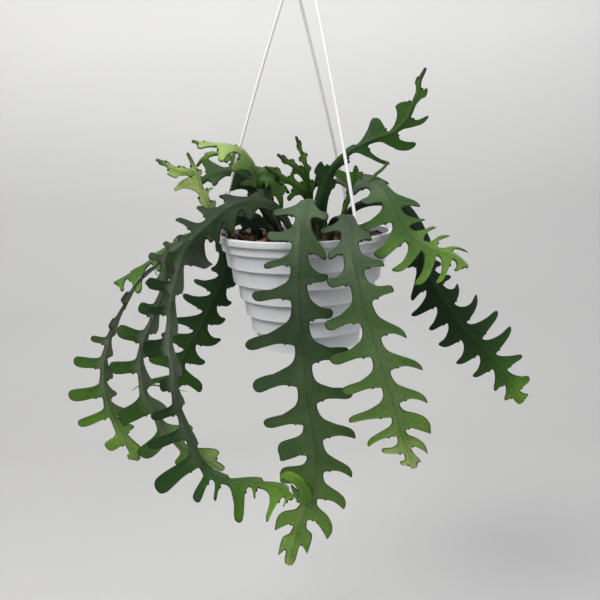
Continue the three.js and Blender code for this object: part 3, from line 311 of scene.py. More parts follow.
# %% The outer left stems
STEMS.update(
    stem_left_outer=dict(
        stalk_rows=2, fold=[5, 5, 5, 15, 35, 55, 40, 10], waist=[2.6, 7, 5, 3.4, 2.8, 2.8, 3.2, 4, 4],
        forms=dict(left="strap", right=0.9), youth=[0.05, 0.1, 0.25, 0.32, 0.55, 0.68],
        wax=[0.1, 0.2, 0.5, 0.8, 0.6, 0, 0, 0], right_bloom_and_sheen=[0, 0.2, 0.4, 0.4, 0.55, 0.6, 0.3, 0],
        shoots=["shoot_left_upright", "shoot_left_branch"],
        path=[(-44, 8, -10, -1, -0.2, 0), (-46, 9, 3, -0.9, -0.2, -0.4), (-58, 12, 13, -0.2, -0.2, -1),
              (-76, 13, 15, 0, -0.2, -1), (-96, 8, 8), (-116, -1, -5, 0.2, -0.3, -0.95),
              (-135, -14, -19, 0.5, -0.2, -0.85), (-146, -19, -28, 0.6, -0.1, -0.8),
              (-161, -25, -41, 0.8, -0.1, -0.6), (-170, -30, -56, 0.85, -0.2, -0.4),
              (-180, -35, -73, 0.85, -0.4, -0.2), (-188, -39, -90, 0.8, -0.6, 0),
              (-194, -43, -113, 0.64, -0.77, 0), (-195, -46, -133), (-192, -48, -153, 0.55, -0.8, 0.1),
              (-184, -50, -174, 0.4, -0.9, 0.1), (-174, -51, -193, 0.2, -1, 0),
              (-167, -52, -207, 0, -1, 0)],
        left=[(14, 12, 0, 0.8), (34, 12, 0, 0.8), (58, 9), (88, 8), (118, 8), (149, 10), (175, 6),
              (191, 16), (214, 27), (240, 33), (260, 33), (290, 21), (306, 8)],
        right=[(12, 12, 0, 0.8), (32, 12, 0, 0.8), (64, 10), (102, 8), (132, 8), (153, 9), (182, 10),
              (203, 12), (226, 15), (244, 15), (262, 15), (282, 13), (302, 8)],
    ),
    stem_left_back=dict(
        stalk_rows=3, fold=[5, 10, 10], waist=[2.6, 5, 4, 3.2, 3.2, 3], forms=dict(left=0.6, right=0.6),
        youth=[0.3, 0.36, 0.5],
        path=[(-50, 28, -10, 0.9, -0.4, 0), (-53, 30, 4, 0.9, -0.4, 0.3), (-64, 35, 14, 0.2, -0.4, 0.9),
              (-84, 35, 11, 0, -0.5, 0.9), (-104, 29, 1, -0.2, -0.5, 0.8),
              (-121, 22, -5, -0.3, -0.5, 0.8), (-137, 17, -14), (-152, 13, -25), (-164, 9, -33),
              (-181, 4, -42), (-188, 2, -45)],
        left=[(20, 9), (50, 8), (78, 7), (102, 6)],
        right=[(36, 9), (60, 12), (83, 19, 2), (110, 28, 2), (122, 16)],
    ),
)
print(len(STEMS), "stems with all at the left")

# %% [markdown]
# ## The stems that stand up
# Three stems arch to the upper left. One spiky stem stands in the middle, and a tall and a short
# young one stand at the right.

# %% The arching and upright stems
STEMS.update(
    stem_arch_pale=dict(
        stalk_rows=2, fold=[5, 20, 20], waist=[2.6, 5, 5.5, 5.5, 4.5, 1.8], finger=0.32, curl=0.5,
        forms=dict(left=0.7, right=0.7), youth=[0.25, 0.4, 0.72, 0.8], wax=[0.25, 0.35, 0.25, 0.25],
        shoots=["shoot_arch_curl", "shoot_arch_drop"],
        path=[(-24, 4, -10, 0.7, -0.7, 0), (-29, 1, 8), (-37, -2, 27), (-39, -3, 39, 0.7, -0.7, 0.1),
              (-44, -4, 50, 0.6, -0.7, 0.3), (-49, -10, 64, 0.4, -0.7, 0.6),
              (-55, -12, 73, 0.2, -0.6, 0.8), (-61, -14, 80, 0, -0.5, 0.85), (-70, -16, 84),
              (-85, -17, 85), (-102, -18, 89)],
        left=[(8, 21), (22, 20), (62, 9), (92, 6)],
        right=[(14, 15), (30, 17), (52, 19), (78, 18), (96, 8)],
    ),
    stem_arch_dark=dict(
        stalk_rows=2, fold=[5, 10, 10], waist=[2.6, 9, 9, 7, 3], forms=dict(left=0.7, right=0.7),
        youth=[0.02, 0.1, 0.3],
        path=[(-24, 18, -10, 0.6, -0.8, 0), (-29, 14, 8, 0.5, -0.8, 0.2), (-36, 11, 24, 0.3, -0.8, 0.5),
              (-41, 12, 34, 0, -0.8, 0.6), (-50, 13, 45), (-59, 14, 53), (-69, 14, 59), (-83, 13, 58),
              (-94, 12, 54), (-101, 11, 48)],
        left=[(22, 16), (50, 20), (71, 24)],
        right=[(20, 11), (46, 25), (72, 12)],
    ),
    stem_arch_thin=dict(
        stalk_rows=2, fold=[5, 10, 10], waist=[2.6, 4, 3.5, 2.5, 1.8], youth=[0.3, 0.5, 0.6],
        path=[(-36, 34, -10, 0.6, -0.8, 0), (-38, 32, 8, 0.5, -0.8, 0.2), (-42, 32, 26, 0.3, -0.8, 0.5),
              (-48, 33, 40, 0, -0.8, 0.6), (-56, 35, 56), (-64, 36, 68), (-73, 36, 74), (-83, 35, 76),
              (-93, 34, 75), (-100, 33, 71), (-105, 32, 65)],
        left=[(28, 8), (54, 6), (80, 4)],
        right=[(16, 9), (40, 8), (62, 9), (86, 4)],
    ),
    stem_centre=dict(
        stalk_rows=2, fold=[5, 10, 10], waist=[2.6, 5, 4, 2.4, 1.6], youth=[0.32, 0.42, 0.55, 0.6],
        dry_tip=0.6, shoots=["shoot_centre_middle", "shoot_centre_left", "shoot_bud"],
        path=[(-2, 4, -10, 0, -1, 0), (2, 2, 10), (5, 0, 30), (4, 0, 42), (3, 0, 53), (2, 0, 64),
              (-2, 0, 77), (-6, 0, 90)],
        left=[(17, 10), (30, 5), (42, 5), (54, 3)],
        right=[(10, 8), (26, 5), (40, 5), (50, 3)],
    ),
    stem_right_tall=dict(
        stalk_rows=2, fold=[5, 10, 15, 10], waist=[2.6, 7, 6, 3, 3, 3, 1.8], finger=0.27,
        youth=[0.12, 0.2, 0.3, 0.4, 0.5], dry_tip=0.5,
        path=[(12, -7, -10, 0, -1, 0), (12, -10, 8), (14, -15, 28), (19, -15, 42),
              (26, -14, 57, 0.2, -1, 0), (35, -13, 68, 0.3, -1, 0.2), (46, -11, 76, 0.2, -0.8, 0.6),
              (59, -9, 82, 0, -0.9, 0.4), (72, -8, 87, 0, -1, 0), (84, -8, 91), (93, -8, 98),
              (100, -8, 107), (104, -8, 117), (108, -8, 127), (110, -8, 138), (115, -8, 148)],
        left=[(24, 9), (50, 8), (92, 28, 20, 0), (111, 24, 9, 0), (128, 18, 8, 0.4), (149, 9, 2)],
        right=[(33, 15), (62, 5), (90, 19, -4, 1), (128, 15, -5, 1), (156, 4)],
    ),
    stem_right_tee=dict(
        stalk_rows=2, fold=[5, 10], waist=[2.4, 2, 2, 2], youth=[0.4, 0.5],
        path=[(36, -27, -10, 0, -1, 0), (35, -34, 2), (34, -40, 16), (37, -41, 27), (41, -41, 40),
              (45, -41, 54), (47, -41, 62)],
        left=[(20, 3), (43, 8)],
        right=[(14, 3), (40, 17)],
    ),
)
print(len(STEMS), "stems in all")

# %% [markdown]
# ## Side shoots
# A shoot that branches off a stem is measured in the same way, but has no stalk, so its lobes count
# from its own base. It begins inside the stem that it grew from, and the two shells share a piece.

# %% Side shoots
SHOOTS = dict(
    shoot_arch_curl=dict(
        fold=[10, 20, 30], waist=[4, 5, 5, 4, 1.8], forms=dict(left=0.7, right=0.7),
        youth=[0.45, 0.5, 0.6],
        path=[(-43, -4, 48, 0.6, -0.7, 0.3), (-42, -3, 56, 0.3, -0.8, 0.5), (-36, -1, 60, 0, -0.7, 0.7),
              (-29, 1, 57), (-24, 2, 50, 0.4, -0.8, 0.4), (-21, 2, 43, 0.5, -0.8, 0.2),
              (-15, 1, 38, 0, -0.9, 0.4)],
        left=[(14, 8), (32, 8)],
        right=[(10, 9), (26, 9), (40, 4)],
    ),
    shoot_arch_drop=dict(
        fold=[5, 10, 10], waist=[4, 5, 5, 4, 2], forms=dict(left=0.7, right=0.7), youth=[0.35, 0.45],
        path=[(-42, -4, 43, 0.6, -0.7, 0.2), (-37, -8, 50, 0.3, -0.8, 0.5), (-30, -9, 48, 0.2, -0.8, 0.5),
              (-26, -9, 41, 0.3, -0.9, 0.2), (-23, -9, 33, 0.3, -0.9, 0.1), (-22, -9, 25)],
        left=[(12, 8), (26, 7)],
        right=[(14, 12), (28, 11)],
    ),
    shoot_left_upright=dict(
        fold=[5, 10], waist=[4, 5, 4.5, 2.5, 1.6], finger=0.2, youth=[0.76, 0.86, 0.86, 0.74],
        dry_tip=0.4,
        path=[(-88, 10, 11, 0, -1, 0.1), (-90, 4, 22), (-94, -1, 31), (-98, -4, 41), (-100, -7, 51),
              (-102, -11, 62), (-105, -12, 71), (-108, -12, 78)],
        left=[(20, 8), (34, 12), (55, 6)],
        right=[(29, 6), (41, 25, -9, 0.8), (60, 4)],
    ),
    shoot_left_branch=dict(
        fold=[5, 10], waist=[4, 4, 3, 1.8], youth=[0.7, 0.8, 0.72], dry_tip=0.5,
        path=[(-98, -6, 53, 0, -1, 0.1), (-109, -9, 60), (-116, -12, 62), (-125, -13, 66),
              (-131, -13, 70), (-137, -13, 73)],
        left=[(22, 5), (34, 3)],
        right=[(30, 8), (38, 3)],
    ),
    shoot_centre_middle=dict(
        fold=[5, 10], waist=[3.5, 3.5, 3, 1.8], youth=[0.38, 0.48, 0.56], dry_tip=0.6,
        path=[(4, 0, 47, 0, -1, 0), (-3, -2, 58), (-10, -3, 64), (-17, -3, 69), (-24, -3, 74)],
        left=[(14, 5), (24, 5), (32, 3)],
        right=[(18, 6), (30, 4)],
    ),
    shoot_centre_left=dict(
        fold=[5, 10], waist=[4, 5, 4, 2.8, 1.6], youth=[0.35, 0.45, 0.55], dry_tip=0.5,
        path=[(5, 0, 30, 0, -1, 0), (-1, -4, 40), (-10, -5, 47), (-19, -6, 52), (-28, -6, 59),
              (-36, -6, 63)],
        left=[(16, 8), (28, 9), (44, 5)],
        right=[(20, 17), (34, 7), (46, 3)],
    ),
    shoot_front_fold=dict(
        fold=[25, 25], waist=[4, 6.5, 6, 3.5], youth=[0.5, 0.64, 0.6],
        path=[(-6, -118, -227, 0, -1, 0), (-8, -125, -213, 0, -1, 0.2), (-13, -130, -201, 0, -1, 0.5),
              (-21, -130, -195, 0, -1, 0.8), (-28, -126, -197, 0, -1, 0.9)],
        left=[],
        right=[],
    ),
    shoot_bud=dict(
        fold=[5, 5], waist=[1.5, 1.5, 1.8], youth=[0.5, 0.5], dry_tip=0.6,
        path=[(7, 0, 38, 0, -1, 0), (11, -2, 46), (13, -3, 53), (15, -4, 60)],
        left=[],
        right=[],
    ),
    shoot_stick=dict(
        fold=[5, 5], waist=[1.5, 1.5, 1.3], youth=[0.5, 0.5],
        path=[(60, -25, 46, 0, -1, 0), (66, -22, 53), (73, -19, 58), (79, -16, 64)],
        left=[],
        right=[],
    ),
)
print(len(SHOOTS), "side shoots")

# %% [markdown]
# ## Lines through points
# A growing stem bends softly, so the midrib is a smooth curve that passes through every row, and its
# direction at a row is that from the row before to the row after. A spline with handles could do the
# same, but would need two handles set for each of the 255 rows.

# %% Smooth curves
PER_SPAN = 32


def through(rows, per_span=PER_SPAN):
    """A smooth curve: between two rows it is the cubic whose slope at each of them is half the
    difference of the rows on either side. Beyond the ends the rows are mirrored."""
    rows = np.asarray(rows, float)
    padded = np.vstack([2 * rows[0] - rows[1], rows, 2 * rows[-1] - rows[-2]])
    t = np.linspace(0, len(rows) - 1, (len(rows) - 1) * per_span + 1)
    i = np.minimum(t.astype(int), len(rows) - 2)
    w = (t - i)[:, None]
    a, b, c, d = (padded[i + k] for k in range(4))
    return 0.5 * (2 * b + (c - a) * w + (2 * a - 5 * b + 4 * c - d) * w**2
                  + (3 * b - a - 3 * c + d) * w**3)


def unit(vectors):
    """Vectors divided by their length."""
    return vectors / np.maximum(np.linalg.norm(vectors, axis=-1, keepdims=True), 1e-9)


def look_up(x, table_x, table):
    """Each column of a table read at places x, straight between its rows."""
    columns = [np.interp(x, table_x, table[:, k]) for k in range(table.shape[1])]
    return np.stack(columns, -1)


def spread(values, share):
    """A value at a share from 0 to 1 of an evenly spaced list."""
    return np.interp(np.clip(share, 0, 1), np.linspace(0, 1, len(values)), values)


print("halfway between 1 and 3 the curve stands at", through([[0], [1], [3], [4]], 2)[3, 0])

# %% [markdown]
# ## Measuring a midrib
# Lobes are counted in millimetres along the midrib, so its curve is turned into a table by distance.
# At each distance it gives a frame of three directions: forward along the midrib, look out of the
# blade's face, and side across it. Blender's curve tools twist such a frame freely; here the
# measured looks hold it.

# %% Frames along a midrib
def full_rows(path):
    """A path's rows with all their six numbers: a row of three takes the look of the row before."""
    rows = []
    for row in path:
        rows.append(row if len(row) == 6 else (*row, *rows[-1][3:]))
    return rows


def measure(path):
    """The curve of a path as a table by distance: lengths, and per length point, slope and look."""
    fine = through(full_rows(path))
    steps = np.linalg.norm(np.diff(fine[:, :3], axis=0), axis=1)
    lengths = np.concatenate([[0], np.cumsum(steps)])
    slopes = np.gradient(fine[:, :3], axis=0)
    return lengths, np.hstack([fine[:, :3], slopes, fine[:, 3:]])


def frames(track, distance):
    """Point, forward, look and side at each distance: look is made square to forward, and side is
    look x forward. Past an end the line goes straight on."""
    lengths, table = track
    along = np.clip(distance, 0, lengths[-1])
    row = look_up(along, lengths, table)
    forward = unit(row[..., 3:6])
    point = row[..., :3] + forward * (distance - along)[..., None]
    look = row[..., 6:9]
    look = unit(look - forward * (look * forward).sum(-1, keepdims=True))
    return point, forward, look, np.cross(look, forward)


print("midribs in mm:", {name: round(measure(stem["path"])[0][-1]) for name, stem in STEMS.items()})

# %% [markdown]
# ## Tubes
# The stalks, roots, strands and the hook are round bars that follow a line. A curve object with a
# bevel would make such a bar too, but its radius and its numbers per point are easier to set here.

# %% Tubes along a line
def tube(line, radii, sides=16, values=None):
    """Rings of radius r around a line: point = centre + r * (cos a * u + sin a * v), where u and v
    are carried along the line so that they never twist. The ends are rounded by smaller rings."""
    line = np.asarray(line, float)
    radii = np.broadcast_to(radii, len(line)).astype(float)
    forward = unit(np.gradient(line, axis=0))
    start = np.cross(forward[0], [0, 0, 1.0])
    if np.linalg.norm(start) < 0.1:
        start = np.cross(forward[0], [0, 1.0, 0])
    u = np.zeros_like(line)
    u[0] = unit(start)
    for k in range(1, len(line)):
        u[k] = unit(u[k - 1] - forward[k] * (u[k - 1] @ forward[k]))
    v = np.cross(u, forward)
    turns = np.radians([80, 55, 28])
    head = line[0] - forward[0] * radii[0] * np.sin(turns)[:, None]
    tail = line[-1] + forward[-1] * radii[-1] * np.sin(turns[::-1])[:, None]
    centre = np.vstack([head, line, tail])
    size = np.concatenate([radii[0] * np.cos(turns), radii, radii[-1] * np.cos(turns[::-1])])
    u = np.vstack([u[:1].repeat(3, 0), u, u[-1:].repeat(3, 0)])
    v = np.vstack([v[:1].repeat(3, 0), v, v[-1:].repeat(3, 0)])
    a = np.linspace(0, 2 * np.pi, sides, endpoint=False)
    ring = np.cos(a)[None, :, None] * u[:, None] + np.sin(a)[None, :, None] * v[:, None]
    grid = centre[:, None] + ring * size[:, None, None]
    return closed_shell(grid, values)


print("a straight tube has", len(tube([(0, 0, 0), (0, 0, 1)], 1)[0]), "points")

# %% [markdown]
# ## Forms of a lobe
# A lobe grows towards the stem's tip, so its lower side is long and hollow, its end is round, and its
# upper side runs back to the notch. Fingers have a hollow shoulder and a round end, teeth are broad
# and straight, fins swell early and end in a point, claws bend over their notch, and straps have
# even sides. Each form is a row of points in shares of the lobe's pitch: how far along, how far out,
# and the share of the midrib that the point grew from. A finger has its points in two lists, as its
# end keeps its thickness on a lobe of any length. Every lobe could be traced on its own instead, but
# that is a hundred times the work for the same look.

# %% Forms of a lobe
FINGER = 0.3
FINGER_LEAST = 2.5
FINGER_MOST = 0.6
FINGER_BACK = 1.15
FINGER_SHOULDER = np.array([(0, 0, 0), (0.45, 0.01, 0.28), (0.68, 0.10, 0.42), (0.84, 0.27, 0.50),
                            (0.99, 0.53, 0.58), (1.0, 0.80, 0.64)])
FINGER_END = np.array([(1.06, 0.94, 0.69), (0.79, 1.0, 0.74), (0.33, 0.94, 0.80), (0.14, 0.80, 0.85),
                       (0.25, 0.55, 0.89), (0.28, 0.30, 0.93), (0.13, 0.10, 0.97)])
TOOTH = np.array([(0, 0), (0.18, 0.1), (0.33, 0.27), (0.47, 0.45), (0.6, 0.64), (0.7, 0.81), (0.78, 0.93),
                  (0.86, 1.0), (0.93, 0.95), (0.96, 0.82), (0.965, 0.56), (0.965, 0.3), (0.98, 0.1)])
FIN = np.array([(0, 0, 0), (0.25, 0.01, 0.2), (0.42, 0.11, 0.36), (0.53, 0.28, 0.45), (0.62, 0.49, 0.53),
                (0.68, 0.70, 0.59), (0.74, 0.88, 0.65), (0.84, 0.99, 0.71), (1.0, 1.0, 0.77),
                (0.97, 0.86, 0.83), (0.94, 0.72, 0.87), (0.925, 0.45, 0.92), (0.95, 0.18, 0.96)])
CLAW = np.array([(0, 0, 0), (0.2, 0.05, 0.2), (0.31, 0.18, 0.3), (0.38, 0.4, 0.37), (0.46, 0.74, 0.45),
                 (0.52, 0.87, 0.52), (0.59, 0.94, 0.58), (0.79, 1.0, 0.66), (1.0, 0.97, 0.73),
                 (1.28, 0.9, 0.79), (1.06, 0.7, 0.85), (0.95, 0.4, 0.91), (0.94, 0.14, 0.96)])
STRAP = np.array([(0, 0, 0), (0.35, 0.01, 0.3), (0.51, 0.06, 0.42), (0.58, 0.2, 0.5), (0.61, 0.45, 0.56),
                  (0.615, 0.75, 0.62), (0.65, 0.93, 0.68), (0.75, 1.0, 0.74), (0.88, 0.98, 0.8),
                  (0.96, 0.85, 0.85), (0.985, 0.6, 0.89), (0.97, 0.3, 0.93), (0.985, 0.1, 0.97)])
SHARES = dict(fin=FIN, claw=CLAW, strap=STRAP)
print(len(SHARES) + 2, "forms of a lobe")

# %% [markdown]
# ## The edge of a stem
# An edge is one line of such lobes from the stalk to the tip. Its rows also hold the place on the
# midrib that they grew from; this lets the blade be laid out as lines that fan from the midrib into
# the lobes, as the flesh of a real stem does.

# %% Rows of an edge
FIRST_NOTCH = 0.9
NOTCH_AFTER_TIP = 3
STALK_STEP = 12
STALK_GAP = 4
TIP_LENGTH = 2
TIP_SHOULDER = 0.9
TIP_SHARE = 0.55


def lobe_rows(before, after, reach, waist, finger, form):
    """Rows of one lobe before it hooks: place, out and the place on the midrib it is tied to. A
    finger of thickness t has a shoulder as long as pitch - 1.15 t, whose rows are shares of that
    length; its end is laid out in shares of t back from the notch. The other forms are in shares of
    the pitch. A form between 0 and 1 is a mix of finger and tooth."""
    pitch = after - before
    thick = min(max(finger * pitch, FINGER_LEAST), FINGER_MOST * pitch)
    if form in SHARES:
        along, outs, tied = SHARES[form].T
        places = before + along * pitch
    else:
        shoulder = before + FINGER_SHOULDER[:, 0] * (pitch - FINGER_BACK * thick)
        end = after - FINGER_END[:, 0] * thick
        _, outs, tied = np.vstack([FINGER_SHOULDER, FINGER_END]).T
        places = (1 - form) * np.concatenate([shoulder, end]) + form * (before + TOOTH[:, 0] * pitch)
        outs = (1 - form) * outs + form * TOOTH[:, 1]
    out = waist + outs * (max(reach, waist + 1) - waist)
    return np.stack([places, out, before + tied * pitch], -1)


def edge_rows(stem, side, start, length):
    """All rows of one edge from base to tip, and each lobe as (place where it begins, pitch, reach,
    hook, waist). A lobe begins at the notch of the lobe before it, the first one just before the end
    of the stalk. The last rows narrow to the tip."""
    def waist_at(place):
        return float(spread(stem["waist"], place / length))

    before = max(start * FIRST_NOTCH, 1)
    stalk_places = [0, *np.arange(STALK_STEP, before - STALK_GAP, STALK_STEP)]
    rows = [[[place, waist_at(place), place]] for place in stalk_places]
    usual = (None, None, 0, stem.get("forms", {}).get(side, 0))
    lobes = []
    for lobe in stem[side]:
        end, reach, hook, form = (*lobe, *usual[len(lobe):])
        after = min(start + end - hook + NOTCH_AFTER_TIP, length - 1)
        waist = waist_at(after)
        rows.append(lobe_rows(before, after, reach, waist, stem.get("finger", FINGER), form))
        lobes.append((before, after - before, max(reach, waist + 1), hook, waist))
        before = after
    rows.append([[before, waist_at(before), before]])
    if length - before > 2 * TIP_LENGTH:
        rows.append([[length - TIP_LENGTH, waist_at(length) * TIP_SHOULDER, length - TIP_LENGTH]])
    rows.append([[length, waist_at(length) * TIP_SHARE, length]])
    return np.vstack(rows), lobes


lobe_count = sum(len(stem["left"]) + len(stem["right"]) for stem in [*STEMS.values(), *SHOOTS.values()])
print(lobe_count, "lobes in all")

# %% [markdown]
# ## Rounding and hooking an edge
# The rows are joined by a curve with knots spaced by the root of their distance. The midrib's curve
# has even knots, and would overshoot where a short step follows a long one; this one rounds corners
# evenly. Then the lobes are pushed on towards the tip, most at their ends, which hooks them.

# %% Rounding and hooking an edge
LEAST_CHORD = 0.05


def rounded(rows, per_span=12):
    """A smooth curve through (place, out): knots lie the square root of each chord apart, and a point
    is mixed straight between neighbours three times, first of the four rows about it, then of the
    three mixes, then of the last two. The tied place goes evenly from row to row."""
    def mix(a, b, ta, tb):
        return (a * (tb - t) + b * (t - ta)) / (tb - ta)

    flat = rows[:, :2]
    padded = np.vstack([2 * flat[0] - flat[1], flat, 2 * flat[-1] - flat[-2]])
    gaps = np.sqrt(np.maximum(np.linalg.norm(np.diff(padded, axis=0), axis=1), LEAST_CHORD))
    knots = np.concatenate([[0], np.cumsum(gaps)])
    i = np.arange(len(flat) - 1)
    t0, t1, t2, t3 = (knots[i + k][:, None, None] for k in range(4))
    p0, p1, p2, p3 = (padded[i + k][:, None, :] for k in range(4))
    w = np.linspace(0, 1, per_span, endpoint=False)[None, :, None]
    t = t1 + (t2 - t1) * w
    a1, a2, a3 = mix(p0, p1, t0, t1), mix(p1, p2, t1, t2), mix(p2, p3, t2, t3)
    curve = mix(mix(a1, a2, t0, t2), mix(a2, a3, t1, t3), t1, t2)
    tied = rows[i, 2][:, None, None] + np.diff(rows[:, 2])[:, None, None] * w
    return np.vstack([np.concatenate([curve, tied], -1).reshape(-1, 3), rows[-1]])


def hooked(places, outs, tied, lobes):
    """Places after the lobes have hooked: place + hook * s^2, with s the point's share of the way
    from the waist to the lobe's reach. Between lobes s is 0, so the blade stays whole."""
    if not lobes:
        return places
    begin, pitch, reach, hook, waist = np.array(lobes).T
    which = np.clip(np.searchsorted(begin, tied, side="right") - 1, 0, len(begin) - 1)
    share = np.clip((outs - waist[which][:, None]) / (reach - waist)[which][:, None], 0, 1.1)
    return places + hook[which][:, None] * share**2 * (tied < (begin + pitch)[which])[:, None]


sample = rounded(lobe_rows(0, 30, 25, 6, FINGER, 0))
print("a finger of 30 mm pitch reaches", round(sample[:, 1].max(), 1), "mm out")

# %% [markdown]
# ## Laying out a blade
# The flat blade is laid out first, like a pattern on paper. Its rows lie evenly along both outlines
# together, so the steep ends of the lobes get as many rows as the long sides. Each row runs straight
# out from the midrib to an inner line and from there to the edge, with its last steps close to the
# edge, where the blade turns round.

# %% Laying out a blade
LEAST_ROWS = 24
ROW_STEP = 2.4
CORE = 0.72
CORE_SHARES = np.array([0.0, 0.22, 0.5, 1.0])
OUTER_SHARES = np.array([0.3, 0.6, 0.85])
EDGE_STEPS = np.array([1.0, 0.5, 0.16, 0.0])
EDGE_WIDTH = 3
OUTER_LEAST = 0.2


def blade_rows(edges):
    """Places on the midrib where the blade has a row: the two outlines' lengths are added up along
    the midrib, and a row stands after every ROW_STEP of that sum."""
    every = np.unique(np.concatenate([edge[:, 2] for edge in edges.values()]))
    travel = np.zeros(len(every))
    for edge in edges.values():
        steps = np.linalg.norm(np.diff(edge[:, :2], axis=0), axis=1)
        travel += np.interp(every, edge[:, 2], np.concatenate([[0], np.cumsum(steps)]))
    count = max(LEAST_ROWS, int(travel[-1] / ROW_STEP))
    return np.interp(np.linspace(0, travel[-1], count), travel, every)


def half_blade(edge, tied, inner):
    """Columns of one half as arrays of place, out and distance from the edge. The core runs straight
    out to the inner line, then the outer part runs straight to the edge, with its last steps at
    fixed distances from it."""
    place, out = (np.interp(tied, edge[:, 2], edge[:, k]) for k in (0, 1))
    out = np.maximum(out, inner + OUTER_LEAST)
    core = inner[:, None] * CORE_SHARES
    reach = np.hypot(place - tied, out - inner)
    last = np.minimum(1, reach / EDGE_WIDTH)[:, None] * EDGE_STEPS
    along = np.hstack([(reach[:, None] - last[:, :1]) * OUTER_SHARES, reach[:, None] - last])
    share = along / np.maximum(reach, 1e-6)[:, None]
    straight = np.repeat(tied[:, None], len(CORE_SHARES), 1)
    places = np.hstack([straight, tied[:, None] + (place - tied)[:, None] * share])
    outs = np.hstack([core, inner[:, None] + (out - inner)[:, None] * share])
    gaps = np.hstack([reach[:, None] + inner[:, None] - core, reach[:, None] - along])
    return places, outs, gaps


def ring_order(over, under):
    """Columns of the two halves in the order of a blade's rings: over the upper face from the left
    edge to the right one, then back below."""
    back = under["right"][:, ::-1][:, 1:]
    return np.concatenate([over["left"][:, ::-1], over["right"][:, 1:], back, under["left"][:, 1:-1]], 1)


half_columns = len(CORE_SHARES) + len(OUTER_SHARES) + len(EDGE_STEPS)
flat_half = dict(left=np.zeros((1, half_columns)), right=np.ones((1, half_columns)))
print("a ring of a blade has", ring_order(flat_half, flat_half).shape[1], "points")

# %% [markdown]
# ## Flesh and bend
# A real stem is about two millimetres of firm flesh, thickest at the round midrib. An extruded
# outline would have a flat face and a square edge. Here the thickness changes along each row: a
# ridge at the midrib with a shallow groove beside it, soft pillows and a faint crease in the lobes,
# and a quarter round at the edge. Then the flat pattern is bent: both halves droop from the midrib
# in a V with a round bottom, curl down further out, and each lobe also bends its own way.

# %% Flesh and bend
RIDGE = 1.75
RIDGE_WIDTH = 3.2
FLESH = 0.85
GROOVE = dict(depth=0.3, place=3.4, width=1.3)
PILLOW = dict(height=0.35, place=16, width=9, share=0.3)
CREASE = dict(depth=0.22, start=3, width=6, share=0.05)
SMALL_WAIST = 5
ROUND_EDGE = 1.0
ROUNDNESS = 7
CURL = 0.1
CURL_LENGTH = 60
FULLEST = 0.76
LOBE_BEND = 1.3
BEND_LENGTH = 28


def bell(distance, width):
    """exp(-(distance / width)^2): 1 at the place itself, and smoothly down to 0 on both sides."""
    return np.exp(-((distance / width) ** 2))


def lobe_marks(tied, lobes, draw):
    """Per row of a half: its lobe's own bend in mm, and how near its crease and its pillow are, as
    bells about the fullest place of each lobe."""
    if not lobes:
        return np.zeros((3, len(tied)))
    begin, pitch = np.array(lobes).T[:2]
    fullest = begin + FULLEST * pitch
    bends = np.interp(tied, fullest, draw.uniform(-LOBE_BEND, LOBE_BEND, len(fullest)))
    near = np.abs(tied[:, None] - fullest)
    return bends, bell(near, CREASE["share"] * pitch).sum(1), bell(near, PILLOW["share"] * pitch).sum(1)


def half_thickness(outs, gaps, waist, nerves, pillow):
    """Flesh + ridge - groove + pillow - crease, times a quarter circle over the last millimetre
    before the edge. Ridge, groove and pillow are bells of the distance out, the crease grows with
    it, and ridge and groove are smaller on a narrow stem."""
    small = np.minimum(1, waist / SMALL_WAIST)[:, None]
    ridge = (RIDGE - FLESH) * bell(outs, RIDGE_WIDTH * small)
    groove = GROOVE["depth"] * small * bell(outs - GROOVE["place"] * small, GROOVE["width"] * small)
    puff = PILLOW["height"] * pillow[:, None] * bell(outs - PILLOW["place"], PILLOW["width"])
    crease = CREASE["depth"] * nerves[:, None] * np.clip((outs - CREASE["start"]) / CREASE["width"], 0, 1)
    close = np.clip(gaps / ROUND_EDGE, 0, 1)
    return (FLESH + ridge - groove + puff - crease) * np.sqrt(np.maximum(1 - (1 - close) ** 2, 0))


def bent(track, hand, places, outs, lift, fold, curl, bends):
    """Points of one face of one half: midrib(place) + side * (across + lift * sin(slope)) + look *
    (lift * cos(slope) - droop). With h = hypot(out, 7) the droop is sin(fold) * (h - 7), a V with a
    round bottom, plus the curl and the lobe's bend, which grow with the square of out."""
    round_out = np.hypot(outs, ROUNDNESS)
    crown = ROUNDNESS * np.arcsinh(outs / ROUNDNESS)
    across = outs * np.cos(fold) + (1 - np.cos(fold)) * crown
    droop = np.sin(fold) * (round_out - ROUNDNESS) + curl * outs**2 / CURL_LENGTH
    droop = droop + bends[:, None] * (outs / BEND_LENGTH) ** 2
    slope = np.arctan(np.sin(fold) * outs / round_out + 2 * curl * outs / CURL_LENGTH)
    point, _, look, sideways = frames(track, places)
    spot = point + sideways * (hand * (across + lift * np.sin(slope)))[..., None]
    return spot + look * (lift * np.cos(slope) - droop)[..., None]


print("the midrib is", 2 * RIDGE, "mm thick, the flesh beside it", 2 * FLESH, "mm")

# %% [markdown]
# ## Ends and areoles
# The tip of a stem is round, and each notch holds an areole, the dry little cushion from which a
# cactus would grow its spines. A bevel could round the tip, but would round the edge as well; here
# a few smaller rings close each end. An areole is a bead of a few dozen faces set into the notch.

# %% Ends and areoles
AREOLE = dict(share=0.95, reach=(-1.2, 1.1), radius=1.25, end_radius=0.8)
END_TURNS = np.radians([0, 30, 60, 88])
END_LENGTH = 1.6


